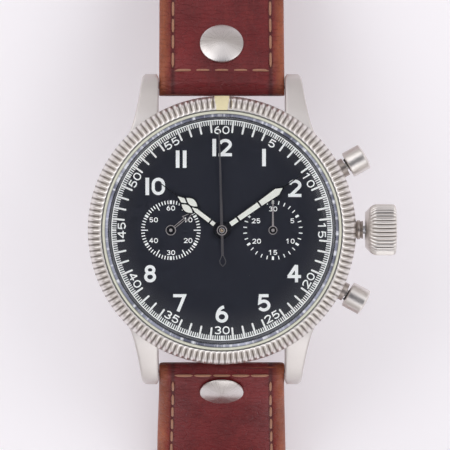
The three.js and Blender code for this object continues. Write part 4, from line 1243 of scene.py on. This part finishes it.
def buckle():
    """A polished pin buckle on a bar through the strap's rolled end."""
    half, length, rim, corner = 11.8, 13.5, 2.2, 2.6
    mid = half - rim / 2
    far = length - rim / 2
    place = PATH_12.matrix(LENGTH_12, BUCKLE_R)
    bend = arc(mid - corner, far - corner, corner, corner, 0, 90, 8)
    path = [(x, y, 0) for x, y in [(mid, -1.5), (mid, 0), (mid, 4)] + bend + [(4, far)]]
    path += [(-x, y, z) for x, y, z in reversed(path)]
    ends = [0.55, 0.95] + [1.0] * (len(path) - 4) + [0.95, 0.55]
    bow = sweep(path, oval(rim / 2, 0.95, 20, 0.8), (0, 0, 1), ends).moved(place)
    piece("buckle_frame_bow", bow, "polished", "buckle_frame", ["buckle_frame"], 40.0)
    rod = [(0, -11.6), (0.62, -11.6), (0.75, -11.45), (0.75, 11.45), (0.62, 11.6), (0, 11.6)]
    piece("buckle_bar_rod", lathe(rod, 32).moved(place @ about_x(0)), "spring", "strap_12", ["buckle_bar"])
    curl = arc(0, 0, 1.02, 1.02, 340, 76, 12)
    curve = [(0, y, z) for y, z in curl + [(2.4, 1.05), (5, 1.38), (8.5, 1.55), (11, 1.5), (length, 1.45)]]
    sizes = [1.0] * (len(curve) - 1) + [0.6]
    tongue = sweep(curve, oval(0.28, 0.93, 16, 0.7), (1, 0, 0), sizes)
    piece("buckle_tongue_pin", tongue.moved(place), "polished", "buckle_tongue", ["buckle_tongue"], 40.0)


# ---------------- floor, light and camera


def floor():
    """An even, faintly lit table under the watch."""
    bottom = cad_box[0].z - 0.02 * MM
    bpy.ops.mesh.primitive_plane_add(size=4.0, location=(0, 0, bottom))
    ground = bpy.context.object
    ground.name = "floor"
    finish = Finish("floor_light_table", (0.9, 0.885, 0.91), 0.9, Emission_Strength=0.19)
    finish.shader.inputs["Emission Color"].default_value = (0.94, 0.91, 0.97, 1)
    finish.paint(finish.noise(0.02, 2.0), (0.885, 0.868, 0.9), (0.905, 0.888, 0.915))
    ground.data.materials.append(finish.material)


SKY = [  # from straight below (0) to straight above (1)
    (0.0, (0.4, 0.37, 0.36)),
    (0.4, (0.42, 0.39, 0.38)),
    (0.6, (0.62, 0.6, 0.6)),
    (0.76, (1.0, 0.985, 1.0)),
    (0.88, (0.75, 0.74, 0.78)),
    (0.94, (0.022, 0.026, 0.04)),
]
SKY_STRENGTH = 1.1
SOFTBOX = 0.4  # width, in metres like the places below
SOFTBOXES = {  # place and power in watts
    "key_softbox": ((-0.42, 0.36, 0.5), 0.9),
    "fill_softbox": ((0.5, 0.16, 0.46), 0.7),
    "low_softbox": ((0.1, -0.55, 0.42), 0.7),
}


def studio():
    """A tent of soft light, darker straight above where the camera looks through."""
    world = bpy.data.worlds.new("studio")
    bpy.context.scene.world = world
    world.use_nodes = True
    tree = world.node_tree
    place = add_node(tree, "ShaderNodeTexCoord").outputs["Generated"]
    split = add_node(tree, "ShaderNodeSeparateXYZ", {0: place})
    ramp = add_node(tree, "ShaderNodeValToRGB", {"Fac": split.outputs["Z"]})
    while len(ramp.color_ramp.elements) < len(SKY):
        ramp.color_ramp.elements.new(0.5)
    for element, (position, color) in zip(ramp.color_ramp.elements, SKY):
        element.position = position
        element.color = (*color, 1)
    background = tree.nodes["Background"]
    tree.links.new(ramp.outputs["Color"], background.inputs["Color"])
    background.inputs["Strength"].default_value = SKY_STRENGTH
    for name, (at, power) in SOFTBOXES.items():
        light = bpy.data.lights.new(name, "AREA")
        light.shape = "RECTANGLE"
        light.size = SOFTBOX
        light.size_y = 1.6 * SOFTBOX
        light.energy = power
        lamp = show(name, light)
        lamp.location = at
        lamp.rotation_euler = (-Vector(at)).to_track_quat("-Z", "Y").to_euler()


def camera():
    """Looks almost straight down, leaning a little to 12 o'clock."""
    target = Vector((0.5, 0.84, 10.0)) * MM
    tilt, lean = math.radians(1.4), math.radians(-0.3)
    distance, view_width = 700 * MM, 72.1 * MM
    lens = bpy.data.cameras.new("camera")
    lens.sensor_width = 36
    lens.lens = lens.sensor_width * distance / view_width
    lens.clip_start = 0.01
    lens.clip_end = 10
    made = show("camera", lens)
    made.location = target + Vector((math.sin(lean), math.sin(tilt), 1.0)) * distance
    back = (made.location - target).normalized()
    right = Vector((0, 1, 0)).cross(back).normalized()
    made.rotation_mode = "QUATERNION"
    made.rotation_quaternion = Matrix((right, back.cross(right), back)).transposed().to_quaternion()
    bpy.context.scene.camera = made


case()
case_back()
bezel()
bezel_marker()
crystal()
dial()
luminous_hand("hour", HOUR_FRAME, HOUR_CELLS, 1.4)
luminous_hand("minute", MINUTE_FRAME, MINUTE_CELLS, 0.95)
chrono_needle()
sub_dial_needles()
crown()
pushers()
straps()
keeper("fixed_keeper", FIXED_KEEPER_S, 0.7, "strap_12")
keeper("free_keeper", FREE_KEEPER_S, 1.1, "free_keeper")
buckle()
floor()
studio()
camera()
bpy.context.scene.view_settings.view_transform = "Standard"
